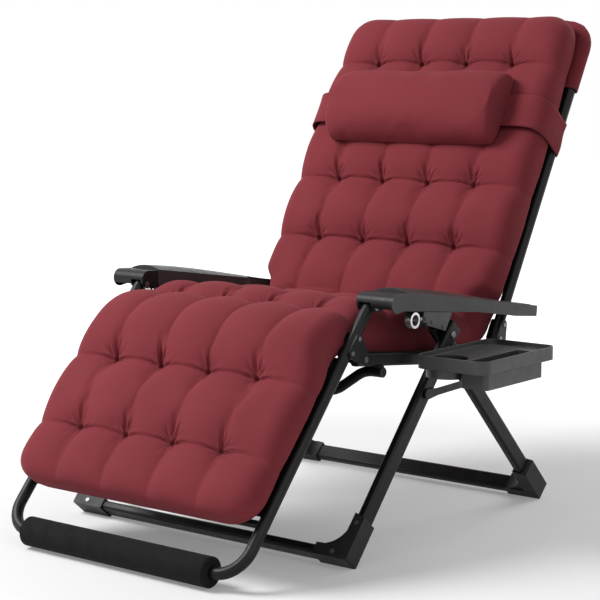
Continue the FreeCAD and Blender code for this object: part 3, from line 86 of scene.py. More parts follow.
def plug(tree, node, values):
    """Give each socket of a node its value, or the link that feeds it."""
    for socket, value in values.items():
        if isinstance(value, bpy.types.NodeSocket):
            tree.links.new(value, node.inputs[socket])
        else:
            node.inputs[socket].default_value = value
    return node


def add_node(tree, kind, values, **settings):
    """A new shader node with its settings and sockets."""
    node = tree.nodes.new("ShaderNode" + kind)
    for name, value in settings.items():
        setattr(node, name, value)
    return plug(tree, node, values)


def reckon(tree, operation, *values):
    """The result of a math node."""
    return add_node(tree, "Math", dict(enumerate(values)), operation=operation).outputs[0]


def seen_directly(tree):
    """A factor of 1 for rays that meet the surroundings in the lens, a mirror or glass."""
    ray = add_node(tree, "LightPath", {}).outputs
    seen = reckon(tree, "MAXIMUM", ray["Is Camera Ray"], ray["Is Glossy Ray"])
    return reckon(tree, "MAXIMUM", seen, ray["Is Transmission Ray"])


def soft_lamp(name, place, aim, size, watts):
    """A round lamp that faces its aim."""
    lamp = bpy.data.lights.new(name, "AREA")
    lamp.shape = "DISK"
    lamp.size = size
    lamp.energy = watts
    stand = put(name, lamp)
    stand.location = place
    stand.rotation_euler = (Vector(aim) - Vector(place)).to_track_quat("-Z", "Y").to_euler()


viewer = bpy.data.cameras.new("viewer")
viewer.lens = VIEWER_LENS
viewer.sensor_width = 36.0
viewer_stand = put("viewer", viewer)
viewer_stand.location = VIEWER_PLACE
viewer_stand.rotation_euler = (radians(90.0 - VIEWER_DOWN), 0.0, radians(VIEWER_TURN))
bpy.context.scene.camera = viewer_stand
bpy.context.scene.view_settings.view_transform = "Standard"

soft_lamp("key_lamp", (-2.3, -2.2, 3.4), CHAIR_MIDDLE, 2.2, 165.0)
soft_lamp("fill_lamp", (3.4, -1.6, 2.2), CHAIR_MIDDLE, 2.6, 16.0)
soft_lamp("back_lamp", (0.6, 3.2, 2.8), (0.0, 0.0, 0.6), 2.4, 40.0)

room = bpy.data.worlds.new("studio_room")
room.use_nodes = True
bpy.context.scene.world = room
room_tree = room.node_tree
lit = add_node(room_tree, "MapRange", {
    "Value": seen_directly(room_tree), "To Min": ROOM_LIGHT, "To Max": 1.0,
})
plug(room_tree, room_tree.nodes["Background"], {
    "Color": (1.0, 1.0, 1.0, 1.0), "Strength": lit.outputs["Result"],
})

floor_shape = bmesh.new()
bmesh.ops.create_grid(floor_shape, x_segments=2, y_segments=2, size=FLOOR_SIZE)
floor_paint = bpy.data.materials.new("studio_floor")
floor_paint.use_nodes = True
floor_tree = floor_paint.node_tree
floor_tree.nodes.remove(floor_tree.nodes["Principled BSDF"])
floor_matt = add_node(floor_tree, "BsdfDiffuse", {"Color": FLOOR_PAINT})
floor_place = add_node(floor_tree, "TexCoord", {}).outputs["Object"]
floor_away = add_node(floor_tree, "VectorMath", {0: floor_place}, operation="LENGTH")
floor_fade = add_node(floor_tree, "MapRange", {
    "Value": floor_away.outputs["Value"], "From Min": FLOOR_NEAR, "From Max": FLOOR_FAR,
    "To Min": FLOOR_NEAR_GLOW, "To Max": 1.0,
})
floor_glow = add_node(floor_tree, "Emission", {
    "Strength": reckon(floor_tree, "MULTIPLY", seen_directly(floor_tree), floor_fade.outputs["Result"]),
})
floor_sum = add_node(floor_tree, "AddShader", {0: floor_matt.outputs[0], 1: floor_glow.outputs[0]})
plug(floor_tree, floor_tree.nodes["Material Output"], {"Surface": floor_sum.outputs[0]})
studio_floor = new_piece("studio_floor", floor_shape, floor_paint)


# ---------------------------------------------------------------------------
# Leg frames: flat-oval steel tube, powder coated satin black, with a fine
# orange-peel skin that is a little duller where hands and shoes rub it.
# ---------------------------------------------------------------------------
DUST_COLOUR = (0.16, 0.155, 0.15, 1.0)


def new_finish(name):
    """A material, with its node tree and its shader."""
    material = bpy.data.materials.new(name)
    material.use_nodes = True
    return material, material.node_tree, material.node_tree.nodes["Principled BSDF"]


def uneven_colour(tree, place, colour, spread, patch, detail):
    """The colour in soft patches, darker and lighter by its spread."""
    patches = add_node(tree, "TexNoise", {"Scale": patch, "Detail": detail, "Vector": place})
    tone = add_node(tree, "ValToRGB", {"Fac": patches.outputs["Fac"]})
    for end, at, level in zip(tone.color_ramp.elements, (0.30, 0.72), (1.0 - spread, 1.0 + spread)):
        end.position = at
        end.color = [c * level for c in colour] + [1.0]
    return tone.outputs["Color"]


def surface(name, colour, rough, patch=12.0, spread=0.12, grain=900.0, height=0.00006,
            metallic=0.0, edge=0.0008, dust=0.0, shine=0.5):
    """A finish with uneven colour and gloss, a grain, and edges that catch the light."""
    material, tree, shader = new_finish(name)
    place = add_node(tree, "TexCoord", {}).outputs["Object"]
    paint = uneven_colour(tree, place, colour, spread, patch, 5.0)
    if dust:
        facing = add_node(tree, "NewGeometry", {}).outputs["Normal"]
        upward = add_node(tree, "SeparateXYZ", {"Vector": facing}).outputs["Z"]
        lying = add_node(tree, "MapRange", {
            "Value": upward, "From Min": 0.4, "From Max": 1.0, "To Max": dust,
        })
        paint = add_node(tree, "Mix", {
            "Factor": lying.outputs["Result"], "A": paint, "B": DUST_COLOUR,
        }, data_type="RGBA").outputs["Result"]
    rubbed = add_node(tree, "TexNoise", {
        "Scale": patch * 3.7, "Detail": 7.0, "Roughness": 0.62, "Vector": place,
    })
    gloss = add_node(tree, "MapRange", {
        "Value": rubbed.outputs["Fac"], "From Min": 0.3, "From Max": 0.7,
        "To Min": rough - 0.07, "To Max": rough + 0.09,
    })
    skin = add_node(tree, "TexNoise", {"Scale": grain, "Detail": 3.0, "Vector": place})
    eased_edge = add_node(tree, "Bevel", {"Radius": edge}, samples=4)
    relief = add_node(tree, "Bump", {
        "Strength": 0.6, "Distance": height,
        "Height": skin.outputs["Fac"], "Normal": eased_edge.outputs["Normal"],
    })
    plug(tree, shader, {
        "Metallic": metallic, "Specular IOR Level": shine, "Base Color": paint,
        "Roughness": gloss.outputs["Result"], "Normal": relief.outputs["Normal"],
    })
    return material


def finish_nodes(material, slot_name, *names):
    """Give pieces that keep their shape their material."""
    for name in names:
        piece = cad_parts[name]
        piece.data.materials.clear()
        piece.data.materials.append(material)


powder_coat = surface("satin_black_powder_coat", (0.0048, 0.0048, 0.0051), 0.38, dust=0.015, shine=0.22)
finish_nodes(
    powder_coat, "frame_black",
    "rear_floor_bar", "rear_leg_left", "rear_leg_right",
    "front_floor_bar", "front_leg_left", "front_leg_right",
)


# ---------------------------------------------------------------------------
# Seat rails, footrest and back frames with their cross tubes: oval and round
# steel tube, bent cold, under the same powder coat as the legs.
# ---------------------------------------------------------------------------
finish_nodes(
    powder_coat, "frame_black",
    "seat_rail_left", "seat_rail_right", "seat_cross_tube", "footrest_frame", "footrest_tie_tube",
    "back_frame", "back_cross_tube",
)


# ---------------------------------------------------------------------------
# Corner connectors, tube plugs, saddles and the tray's hanger: injection
# moulded in black plastic with a spark grain, pushed in or on and riveted.
# ---------------------------------------------------------------------------
moulded = surface("spark_grained_moulding", (0.0125, 0.0125, 0.0135), 0.50, grain=1400.0, height=0.00010,
                  edge=0.0012, dust=0.03, shine=0.32)
finish_nodes(
    moulded, "moulded_black",
    "front_foot_left", "front_foot_right", "rear_foot_left", "rear_foot_right",
    "front_leg_plugs", "rail_end_plugs", "cross_tube_fixings", "footrest_plugs",
    "back_plugs", "tray_hanger",
)


# ---------------------------------------------------------------------------
# Top shoes of the rear legs: glass-filled nylon, matt and hard-wearing, since
# their T ends slide and turn in the locks.
# ---------------------------------------------------------------------------
glass_nylon = surface("glass_filled_nylon", (0.0140, 0.0140, 0.0145), 0.56, grain=1700.0, height=0.00012,
                      edge=0.0010, shine=0.3)
finish_nodes(glass_nylon, "nylon", "leg_top_shoes")


# ---------------------------------------------------------------------------
# Fasteners: turned studs, pins and track rods in black zinc, and the rivets and
# pivot bolts, whose bright zinc heads show against the black frame.
# ---------------------------------------------------------------------------
steel = surface("black_zinc_fasteners", (0.055, 0.055, 0.058), 0.36, grain=2200.0, height=0.00003,
                metallic=0.85, edge=0.0005)
finish_nodes(steel, "fastener_steel", "stay_studs", "lock_pins", "lock_tracks")
bright_steel = surface("bright_zinc_fasteners", (0.20, 0.20, 0.195), 0.36, grain=2200.0, height=0.00003,
                       metallic=0.95, edge=0.0006)
finish_nodes(
    bright_steel, "fastener_steel",
    "rear_foot_rivets", "front_foot_rivets", "leg_pivot_bolts", "seat_pivot_bolts", "stay_pivot_bolts",
    "rail_bolts", "footrest_rivets", "arm_front_bolts", "back_rivets", "arm_rear_bolts",
)


# ---------------------------------------------------------------------------
# Stays, knee brackets and hip brackets: pressed steel plate with drawn edges,
# powder coated a little thinner than the tubes.
# ---------------------------------------------------------------------------
brackets = surface("pressed_plate_black", (0.0065, 0.0065, 0.0069), 0.40, grain=1100.0, height=0.00007,
                   shine=0.26)
finish_nodes(brackets, "bracket_black", "stay_left", "stay_right", "knee_brackets", "hip_brackets")


# ---------------------------------------------------------------------------
# Armrests: injection-moulded shells with a crowned hand pad pressed on top. Inside its grey
# outer wall, the nose in front of the pad is painted near-black as painted shade.
# ---------------------------------------------------------------------------
NOSE_BACK = -0.2000                     # the nose is in front of this line
NOSE_SIDE = 0.3886                      # and its grey wall outside this one
# painted shade, near-black, for the front of the nose
NOSE_PAINTED_SHADE = (0.0085, 0.0085, 0.0090, 1.0)

arm_shell = surface("armrest_moulding", (0.068, 0.064, 0.066), 0.42, grain=1500.0, height=0.00008, edge=0.0015,
                    dust=0.02, shine=0.22)
arm_tree = arm_shell.node_tree
arm_shader = arm_tree.nodes["Principled BSDF"]
arm_place = add_node(arm_tree, "SeparateXYZ", {
    "Vector": add_node(arm_tree, "TexCoord", {}).outputs["Object"],
}).outputs
nose_shade_forward = add_node(arm_tree, "MapRange", {
    "Value": arm_place["Y"], "From Min": NOSE_BACK + 0.0010, "From Max": NOSE_BACK - 0.0010,
})
nose_shade_inside = add_node(arm_tree, "MapRange", {
    "Value": reckon(arm_tree, "ABSOLUTE", arm_place["X"]),
    "From Min": NOSE_SIDE + 0.0006, "From Max": NOSE_SIDE - 0.0006,
})
# Painted shade: inside both masks the nose's front is mixed to near-black.
arm_paint_and_nose_shade = add_node(arm_tree, "Mix", {
    "Factor": reckon(arm_tree, "MULTIPLY", nose_shade_forward.outputs["Result"], nose_shade_inside.outputs["Result"]),
    "A": arm_shader.inputs["Base Color"].links[0].from_socket, "B": NOSE_PAINTED_SHADE,
}, data_type="RGBA")
plug(arm_tree, arm_shader, {"Base Color": arm_paint_and_nose_shade.outputs["Result"]})
finish_nodes(arm_shell, "armrest_black", "armrest_left", "armrest_right")
hand_pad = surface("hand_pad_moulding", (0.026, 0.026, 0.0275), 0.34, grain=1000.0, height=0.00005, edge=0.0012,
                   shine=0.35)
finish_nodes(hand_pad, "arm_pad_black", "arm_pad_left", "arm_pad_right")


# ---------------------------------------------------------------------------
# Sliding locks under the armrests: a grey-black moulded body on each track rod,
# clamped and freed by a nickel-plated ring lever.
# ---------------------------------------------------------------------------
lock_body = surface("lock_moulding", (0.040, 0.041, 0.040), 0.45, grain=1500.0, height=0.00009, edge=0.0010)
finish_nodes(lock_body, "moulded_black", "lock_left", "lock_right")
lever_plate = surface("satin_nickel_lever", (0.62, 0.62, 0.61), 0.27, spread=0.05, grain=1800.0,
                      height=0.00004, metallic=1.0, edge=0.0008)
finish_nodes(lever_plate, "lever_silver", "lock_lever_left", "lock_lever_right")


# ---------------------------------------------------------------------------
# Side tray: one deep moulding with a rim, a cup well and a bin for a tablet,
# hooked on a tongue on the left front leg.
# ---------------------------------------------------------------------------
tray_moulding = surface("tray_moulding", (0.038, 0.038, 0.0385), 0.44, grain=1300.0, height=0.00010,
                        edge=0.0016, dust=0.04)
finish_nodes(tray_moulding, "moulded_black", "side_tray")


# ---------------------------------------------------------------------------
# Foot roller: a sleeve of closed-cell foam over the foot bar, dull black with
# faint pores and soft dents.
# ---------------------------------------------------------------------------
roller_foam = surface("closed_cell_foam", (0.0115, 0.0115, 0.012), 0.86, patch=30.0, spread=0.2, grain=650.0,
                      height=0.00030, edge=0.003, shine=0.15)
finish_nodes(roller_foam, "foam", "foot_roller")


# ---------------------------------------------------------------------------
# Tufted pad: one long quilted cushion of polyester cloth over fibre filling,
# tied through at four tufts in each row. It bends over the knee of the frame
# and folds where the back meets the seat.
# ---------------------------------------------------------------------------
LEG_TILT = 49.1                         # degrees, the way up the footrest
SEAT_TILT = -6.4                        # along the seat, towards the back
KNEE_TURN = -55.5
HIP_TURN = 66.4
ARM_FRONT = Vector((0.0, -0.239, 0.512))  # where the armrests hold the footrest frame
FOOT_TO_ARM = 0.535                     # from there down to the pad's foot end
KNEE_ARC = 0.045
HIP_ARC = 0.130
LEG_RUN = 0.3853
SEAT_RUN = 0.4312
BACK_RUN = 0.7600
PAD_LIFT = 0.008                        # underside above the plane of the tubes


def unit(degrees):
    """The way at this tilt, seen from the side."""
    return Vector((0.0, cos(radians(degrees)), sin(radians(degrees))))


def clamped(value):
    """The value held between 0 and 1."""
    return min(max(value, 0.0), 1.0)


def pad_stations():
    """The runs of the pad's underside: length at the start, point, heading, turn and its radius."""
    leg_way = unit(LEG_TILT)
    point = ARM_FRONT + leg_way * -FOOT_TO_ARM + Vector((0.0, -leg_way.z, leg_way.y)) * PAD_LIFT
    runs = []
    at = 0.0
    heading = LEG_TILT
    for length, turn, radius in (
        (LEG_RUN, 0.0, 0.0), (0.0, KNEE_TURN, KNEE_ARC), (SEAT_RUN, 0.0, 0.0),
        (0.0, HIP_TURN, HIP_ARC), (BACK_RUN, 0.0, 0.0),
    ):
        runs.append((at, point.copy(), heading, turn, radius))
        if turn:
            side = 1.0 if turn > 0.0 else -1.0
            centre = point + unit(heading + 90.0 * side) * radius
            heading += turn
            point = centre - unit(heading + 90.0 * side) * radius
            at += radians(abs(turn)) * radius
        else:
            point = point + unit(heading) * length
            at += length
    return runs, at


pad_runs, PAD_LONG = pad_stations()


def pad_point(x, along, high):
    """Point of the pad: across, along its underside, and above it."""
    at, point, heading, turn, radius = [run for run in pad_runs if run[0] <= max(along, 0.0)][-1]
    if turn:
        side = 1.0 if turn > 0.0 else -1.0
        centre = point + unit(heading + 90.0 * side) * radius
        turned = heading + side * (along - at) / radius * 180.0 / pi
        foot = centre - unit(turned + 90.0 * side) * radius
    else:
        turned = heading
        foot = point + unit(heading) * (along - at)
    out = foot + unit(turned + 90.0) * high
    return Vector((x, out.y, out.z))


TUFT_COLUMNS = (-0.195, -0.065, 0.065, 0.195)
TUFT_ROWS = (0.125, 0.296, 0.462, 0.614, 0.756, 0.935, 1.145, 1.305, 1.470, 1.627)
TUFT_LAST = TUFT_COLUMNS[-1]
EDGE_ROUND = 0.050                      # radius of the pad's edge along its sides
END_ROUND = 0.058                       # and at its foot end
FOOT_CORNER = 0.066
TOP_CORNER = 0.066
BOXY = 2.2                              # 2 is a round edge, more is squarer
MIDDLE_HIGH = 0.036                     # height of the edge's widest line
TUBE_SIDE = 0.307                       # the underside fits between the tubes
TUCK_FROM = 0.38                        # how far down the edge the narrowing starts
TUCK_OVER = 0.45                        # and what it takes
NOTCH = 0.004                           # the sides draw in at a row of ties
GATHER = 0.45                           # how strongly the grid crowds at the ties
EVEN_HALF = 0.31                        # half width of the grid before it is fitted
PUFF_ROUND = 0.74                       # below 1 a puff rises steeply at its ties
SIDE_PUFF = 0.062                       # width of the half puffs beside, below and above the ties
FOOT_PUFF = 0.075
HEAD_PUFF = 0.080
ROW_DEEP = 0.205                        # shares of the height lost in the valleys
COLUMN_DEEP = 0.130
CROSSING_BACK = 0.045
TIE_DEEP = 0.060
TIE_WIDE = 0.018
TIE_REACH = 0.09


def between(stations, at):
    """A value that runs smoothly through (place, value) stations."""
    for (low, first), (high, second) in zip(stations, stations[1:]):
        if at <= high:
            t = clamped((at - low) / (high - low))
            return first + (second - first) * t * t * (3.0 - 2.0 * t)
    return stations[-1][1]


HALF_WIDE = (
    (0.0, 0.328), (0.31, 0.331), (0.415, 0.310), (0.46, 0.3035), (0.60, 0.299), (1.00, 0.299), (1.02, 0.302),
    (1.062, 0.328), (1.15, 0.333), (1.45, 0.332), (1.62, 0.325), (1.74, 0.318), (1.80, 0.317),
)
CROWN_HIGH = (
    (0.0, 0.078), (0.30, 0.083), (0.40, 0.093), (0.464, 0.102), (0.535, 0.113), (0.614, 0.113),
    (0.690, 0.109), (0.935, 0.098), (1.05, 0.092), (1.66, 0.090), (1.80, 0.084),
)
UNDER_LIFT = (
    (0.0, 0.0), (0.43, 0.0), (0.50, -0.002), (0.90, -0.002), (0.985, -0.023), (1.02, -0.020), (1.085, -0.009),
    (1.68, -0.009), (1.735, 0.0), (1.80, 0.0),
)
SIDE_ROUND = (
    (0.0, FOOT_CORNER), (0.04, FOOT_CORNER), (0.13, EDGE_ROUND),
    (PAD_LONG - 0.14, EDGE_ROUND), (PAD_LONG - 0.05, TOP_CORNER),
)


def puff(t):
    """Height of a puff across its width, 0 at its ties and 1 at its crown."""
    return max(1.0 - abs(2.0 * t - 1.0) ** 2.0, 0.0) ** PUFF_ROUND


def swell(at, ties):
    """Height of the puff at a place between two ties."""
    for low, high in zip(ties, ties[1:]):
        if low <= at <= high:
            return puff((at - low) / (high - low))


def swell_across(x):
    """Height of the puffs across the pad, half puffs at its sides."""
    if abs(x) > TUFT_LAST:
        return puff(0.5 * min((abs(x) - TUFT_LAST) / SIDE_PUFF, 1.0))
    return swell(x, TUFT_COLUMNS)


def swell_along(along):
    """Height of the puffs along the pad, half puffs at its ends."""
    if along < TUFT_ROWS[0]:
        return puff(0.5 * min((TUFT_ROWS[0] - along) / FOOT_PUFF, 1.0))
    if along > TUFT_ROWS[-1]:
        return puff(0.5 * min((along - TUFT_ROWS[-1]) / HEAD_PUFF, 1.0))
    return swell(along, TUFT_ROWS)


def fullness(x, along):
    """Share of the pad's full height at a place on its face."""
    across = 1.0 - swell_across(x)
    length = 1.0 - swell_along(along)
    share = 1.0 - across * (COLUMN_DEEP - CROSSING_BACK * length) - length * ROW_DEEP
    for column in TUFT_COLUMNS:
        for row in TUFT_ROWS:
            if abs(x - column) < TIE_REACH and abs(along - row) < TIE_REACH:
                share -= TIE_DEEP * exp(-(hypot(x - column, along - row) / TIE_WIDE) ** 2)
    return share


def gather(at, ties):
    """Draw the threads of an even grid together at the ties, where the cloth folds finely."""
    for low, high in zip(ties, ties[1:]):
        if low <= at <= high:
            t = (at - low) / (high - low)
            return at - GATHER * (high - low) * sin(2.0 * pi * t) / (2.0 * pi)
    return at


def norm(power, *values):
    """Distance from the middle as a boxy shape measures it."""
    return sum(abs(value) ** power for value in values) ** (1.0 / power)


def pad_place(a, b, c):
    """Place on the finished pad of a point of the unit box: across, along and up."""
    along = gather((b + 0.5) * PAD_LONG, (0.0,) + TUFT_ROWS + (PAD_LONG,))
    half = between(HALF_WIDE, along) - NOTCH * (1.0 - swell_along(along))
    x = gather(a * 2.0 * EVEN_HALF, (-EVEN_HALF,) + TUFT_COLUMNS + (EVEN_HALF,)) * half / EVEN_HALF
    top = between(CROWN_HIGH, along) * fullness(x, along)
    side = between(SIDE_ROUND, along)
    end = END_ROUND if along < 0.5 * PAD_LONG else TOP_CORNER
    core_x = max(-half + side, min(half - side, x))
    core_along = max(end, min(PAD_LONG - end, along))
    out = Vector(((x - core_x) / side, (along - core_along) / end, 2.0 * c - 1.0))
    flat = max(abs(out.x), abs(out.y))
    if flat > 1e-9:                     # first the corner is rounded in plan
        rounded = flat / norm(BOXY, out.x, out.y)
        out.x *= rounded
        out.y *= rounded
    power = BOXY if out.z >= 0.0 else BOXY - 8.0 * out.z
    reach = max(flat, abs(out.z))
    if reach > 0.999:                   # and then the edge in its section
        out = out * (reach / norm(power, flat, out.z))
    x = core_x + out.x * side
    along = core_along + out.y * end
    if out.z > 0.0:
        return x, along, MIDDLE_HIGH + (top - MIDDLE_HIGH) * out.z
    tuck = clamped((-out.z - TUCK_FROM) / TUCK_OVER)
    x *= 1.0 - max(half - TUBE_SIDE, 0.0) * tuck * tuck * (3.0 - 2.0 * tuck) / half
    return x, along, MIDDLE_HIGH + (MIDDLE_HIGH - between(UNDER_LIFT, along)) * out.z


def filled_box(x_segments, y_segments, layers):
    """A unit box with even faces all over, ready to be shaped."""
    shape = bmesh.new()
    bmesh.ops.create_grid(shape, x_segments=x_segments, y_segments=y_segments, size=0.5)
    raised = bmesh.ops.extrude_face_region(shape, geom=shape.faces[:], use_keep_orig=True)
    for part in raised["geom"]:
        if isinstance(part, bmesh.types.BMVert):
            part.co.z = 1.0
    posts = [edge for edge in shape.edges if abs(edge.verts[0].co.z - edge.verts[1].co.z) > 0.5]
    bmesh.ops.subdivide_edges(shape, edges=posts, cuts=layers, use_grid_fill=True)
    bmesh.ops.recalc_face_normals(shape, faces=shape.faces[:])
    shape.verts.index_update()
    return shape


def lay_cloth(shape, flat, places, point_at):
    """Draw the cloth's own map from the flat places, and take each vertex to its place."""
    cloth_map = shape.loops.layers.uv.new("cloth")
    for face in shape.faces:
        for corner in face.loops:
            corner[cloth_map].uv = flat[corner.vert.index]
    for vert, place in zip(shape.verts, places):
        vert.co = point_at(*place)


pad_shape = filled_box(88, 264, 11)
pad_places = [pad_place(*vert.co) for vert in pad_shape.verts]
lay_cloth(pad_shape, [place[:2] for place in pad_places], pad_places, pad_point)
whole_pad = new_piece("whole_pad", pad_shape)

# The filling presses the cloth out between the tied tufts until it settles.
CLOTH_STIFF = 20.0
CLOTH_DAMPING = 8.0
SETTLE_MOST = 0.022
SETTLE_SHARE = 0.80                     # of the move, on the pad's face
SIDE_SETTLES = 0.22                     # past these places the share falls away
END_SETTLES = 0.09
VALLEY_HELD = 0.022
TIE_HELD = 0.008
UNDER_HELD = 0.016


def settle(piece, held, shares, pressure, growth, frames, most):
    """Run the cloth from the piece's shape and apply each point's share of its move, up to most."""
    holding = piece.vertex_groups.new(name="held")
    holding.add(held, 1.0, "REPLACE")
    cloth = piece.modifiers.new("settle", "CLOTH")
    for setting, value in (
        ("quality", 4), ("mass", 0.15), ("air_damping", 4.0),
        ("tension_stiffness", CLOTH_STIFF), ("tension_damping", CLOTH_DAMPING),
        ("compression_stiffness", CLOTH_STIFF), ("compression_damping", CLOTH_DAMPING),
        ("shear_stiffness", 0.4 * CLOTH_STIFF), ("shear_damping", CLOTH_DAMPING),
        ("bending_stiffness", 0.3), ("bending_damping", 1.0),
        ("use_pressure", True), ("uniform_pressure_force", pressure), ("shrink_min", -growth),
        ("vertex_group_mass", "held"),
    ):
        setattr(cloth.settings, setting, value)
    cloth.settings.effector_weights.gravity = 0.0
    cloth.collision_settings.use_collision = False
    cloth.collision_settings.use_self_collision = False
    cloth.point_cache.frame_start = 1
    cloth.point_cache.frame_end = frames
    for frame_number in range(1, frames + 1):
        bpy.context.scene.frame_set(frame_number)
    view = bpy.context.evaluated_depsgraph_get()
    settled = piece.evaluated_get(view).to_mesh()
    places = [point.co.copy() for point in settled.vertices]
    piece.evaluated_get(view).to_mesh_clear()
    piece.modifiers.clear()
    bpy.context.scene.frame_set(1)
    for point, place, share in zip(piece.data.vertices, places, shares):
        move = (place - point.co) * share
        if move.length > most:
            move *= most / move.length
        point.co += move
    evened = bmesh.new()
    evened.from_mesh(piece.data)
    loose = [vert for vert, share in zip(evened.verts, shares) if share > 0.15]
    for turn in range(3):
        bmesh.ops.smooth_vert(evened, verts=loose, factor=0.5, use_axis_x=True, use_axis_y=True, use_axis_z=True)
    evened.to_mesh(piece.data)
    evened.free()


def refine(piece):
    """Apply one level of subdivision."""
    finer = piece.modifiers.new("finer", "SUBSURF")
    finer.levels = 1
    finer.render_levels = 1
    view = bpy.context.evaluated_depsgraph_get()
    shape = bpy.data.meshes.new_from_object(piece.evaluated_get(view), depsgraph=view)
    piece.modifiers.clear()
    piece.data = shape


tied = []
shares = []
for index, (x, along, high) in enumerate(pad_places):
    beside = max(abs(x) - SIDE_SETTLES, END_SETTLES - along, along - PAD_LONG + END_SETTLES) / 0.06
    valley = min(abs(along - row) for row in TUFT_ROWS)
    shares.append((SETTLE_SHARE - 0.70 * clamped(beside)) * (1.0 - 0.6 * exp(-(valley / VALLEY_HELD) ** 2)))
    near_tie = high > 0.030 and min(
        hypot(x - column, along - row) for column in TUFT_COLUMNS for row in TUFT_ROWS
    ) < TIE_HELD
    if high < UNDER_HELD or near_tie:
        tied.append(index)
settle(whole_pad, tied, shares, pressure=3.0, growth=0.055, frames=16, most=SETTLE_MOST)
refine(whole_pad)
pad_mesh = whole_pad.data

# Pinch folds fan up and down from each tie: the lean in degrees, the share of
# the longest fold, and the depth. A crease runs across from tie to tie.
UPWARD_FOLDS = ((-40.0, 0.66, 0.0050), (-11.0, 1.0, 0.0085), (15.0, 0.85, 0.0070), (44.0, 0.55, 0.0042))
DOWNWARD_FOLDS = ((150.0, 0.40, 0.0030), (205.0, 0.36, 0.0026))
PINCH_LONG = 0.062
PINCH_REACH = 0.085
PINCH_NARROW = 0.0022                   # half width of a fold at its tie
PINCH_WIDENS = 0.060
CREASE_DEEP = 0.0042
CREASE_NARROW = 0.0032
CREASE_ARCH = 0.004                     # it rises between two ties
SIDE_CREASE = 0.075                     # and runs this far past the last ties
SIDE_ARCH = 0.0035
LIP_ASIDE = 0.0075                      # the cloth swells beside a crease
LIP_WIDE = 0.0035
FACE_HIGH = 0.045                       # folds are only on the pad's face, above this
fold_dice = random.Random(11)


def fan_of_folds(folds, sway, shallow, deepest, bend):
    """Lean, length, depth and bend of each fold on one side of a tie, all a little uneven."""
    return [(
        radians(lean + fold_dice.uniform(-sway, sway)),
        PINCH_LONG * long * fold_dice.uniform(0.8, 1.2),
        deep * fold_dice.uniform(shallow, deepest),
        fold_dice.uniform(-bend, bend) if bend else 0.0,
    ) for lean, long, deep in folds]


pinches = {}
for row in range(len(TUFT_ROWS)):
    for column in range(len(TUFT_COLUMNS)):
        pinches[row, column] = (
            fan_of_folds(UPWARD_FOLDS, 6.0, 0.75, 1.25, 1.8) + fan_of_folds(DOWNWARD_FOLDS, 15.0, 0.6, 1.2, 0.0)
        )


def nearest(at, ties, ahead=0.0):
    """Number of the nearest tie, or of the nearest to a point this far ahead of them."""
    return min(range(len(ties)), key=lambda number: abs(at - ties[number] - ahead))


def ridge_line(aside, wide):
    """Section of a fold, 1 on its line."""
    return exp(-(aside / wide) ** 2)


def pinch(x, along):
    """Depth of the folds in the cloth at a place on the pad's face."""
    row = nearest(along, TUFT_ROWS, 0.02)
    column = nearest(x, TUFT_COLUMNS)
    u = x - TUFT_COLUMNS[column]
    v = along - TUFT_ROWS[row]
    depth = 0.0
    far = hypot(u, v)
    if 1e-6 < far < PINCH_REACH:
        for lean, long, deep, bend in pinches[row, column]:
            off = atan2(u, v) - lean - bend * far
            if off > pi:
                off -= 2.0 * pi
            if off < -pi:
                off += 2.0 * pi
            if abs(off) > 1.4 or far > long:
                continue
            wide = PINCH_NARROW + PINCH_WIDENS * far
            aside = far * sin(off)
            fade = (1.0 - far / long) ** 1.1 * min(far / 0.006, 1.0)
            depth += deep * fade * (ridge_line(aside, wide) - 0.45 * ridge_line(abs(aside) - 2.1 * wide, wide))
    if abs(x) > TUFT_LAST:
        t = min((abs(x) - TUFT_LAST) / SIDE_CREASE, 1.0)
        arch = SIDE_ARCH * t
        deep = CREASE_DEEP * (1.0 - t) ** 0.8
    else:
        t = min(abs(u) / (0.5 * (TUFT_COLUMNS[1] - TUFT_COLUMNS[0])), 1.0)
        arch = CREASE_ARCH * (1.0 - (1.0 - t) ** 2)
        deep = CREASE_DEEP * (1.0 - 0.72 * t)
    aside = v - arch
    return depth + deep * (ridge_line(aside, CREASE_NARROW) - 0.35 * ridge_line(aside - LIP_ASIDE, LIP_WIDE))


tie_marks = pad_mesh.attributes.new("tie", "FLOAT_VECTOR", "CORNER")
pad_cloth = pad_mesh.uv_layers["cloth"].data
flat_places = [None] * len(pad_mesh.vertices)
for face in pad_mesh.polygons:
    for corner in face.loop_indices:
        flat_places[pad_mesh.loops[corner].vertex_index] = tuple(pad_cloth[corner].uv)
    x, along = flat_places[pad_mesh.loops[face.loop_start].vertex_index]
    column = nearest(x, TUFT_COLUMNS)
    row = nearest(along, TUFT_ROWS)
    for corner in face.loop_indices:
        x, along = pad_cloth[corner].uv
        tie_marks.data[corner].vector = (
            x - TUFT_COLUMNS[column], along - TUFT_ROWS[row], 3.7 * row + 11.3 * column,
        )
pushes = []
for point, (x, along) in zip(pad_mesh.vertices, flat_places):
    foot = pad_point(x, along, 0.0)
    high = (point.co - foot).dot(pad_point(x, along, 1.0) - foot)
    share = clamped((high - FACE_HIGH) / 0.015)
    pushes.append(point.normal * (-pinch(x, along) * share) if share > 0.0 else None)
for point, push in zip(pad_mesh.vertices, pushes):
    if push is not None:
        point.co += push
for face in pad_mesh.polygons:
    face.use_smooth = True


CLOTH_ROUGH = 0.86
CLOTH_SHEEN = (0.75, 0.30, 0.32, 1.0)
THREAD_COUNT = 190.0
WEAVE_HEIGHT = 0.0002
NAP_HEIGHT = 0.0015
WINE_RED = (0.240, 0.036, 0.046)


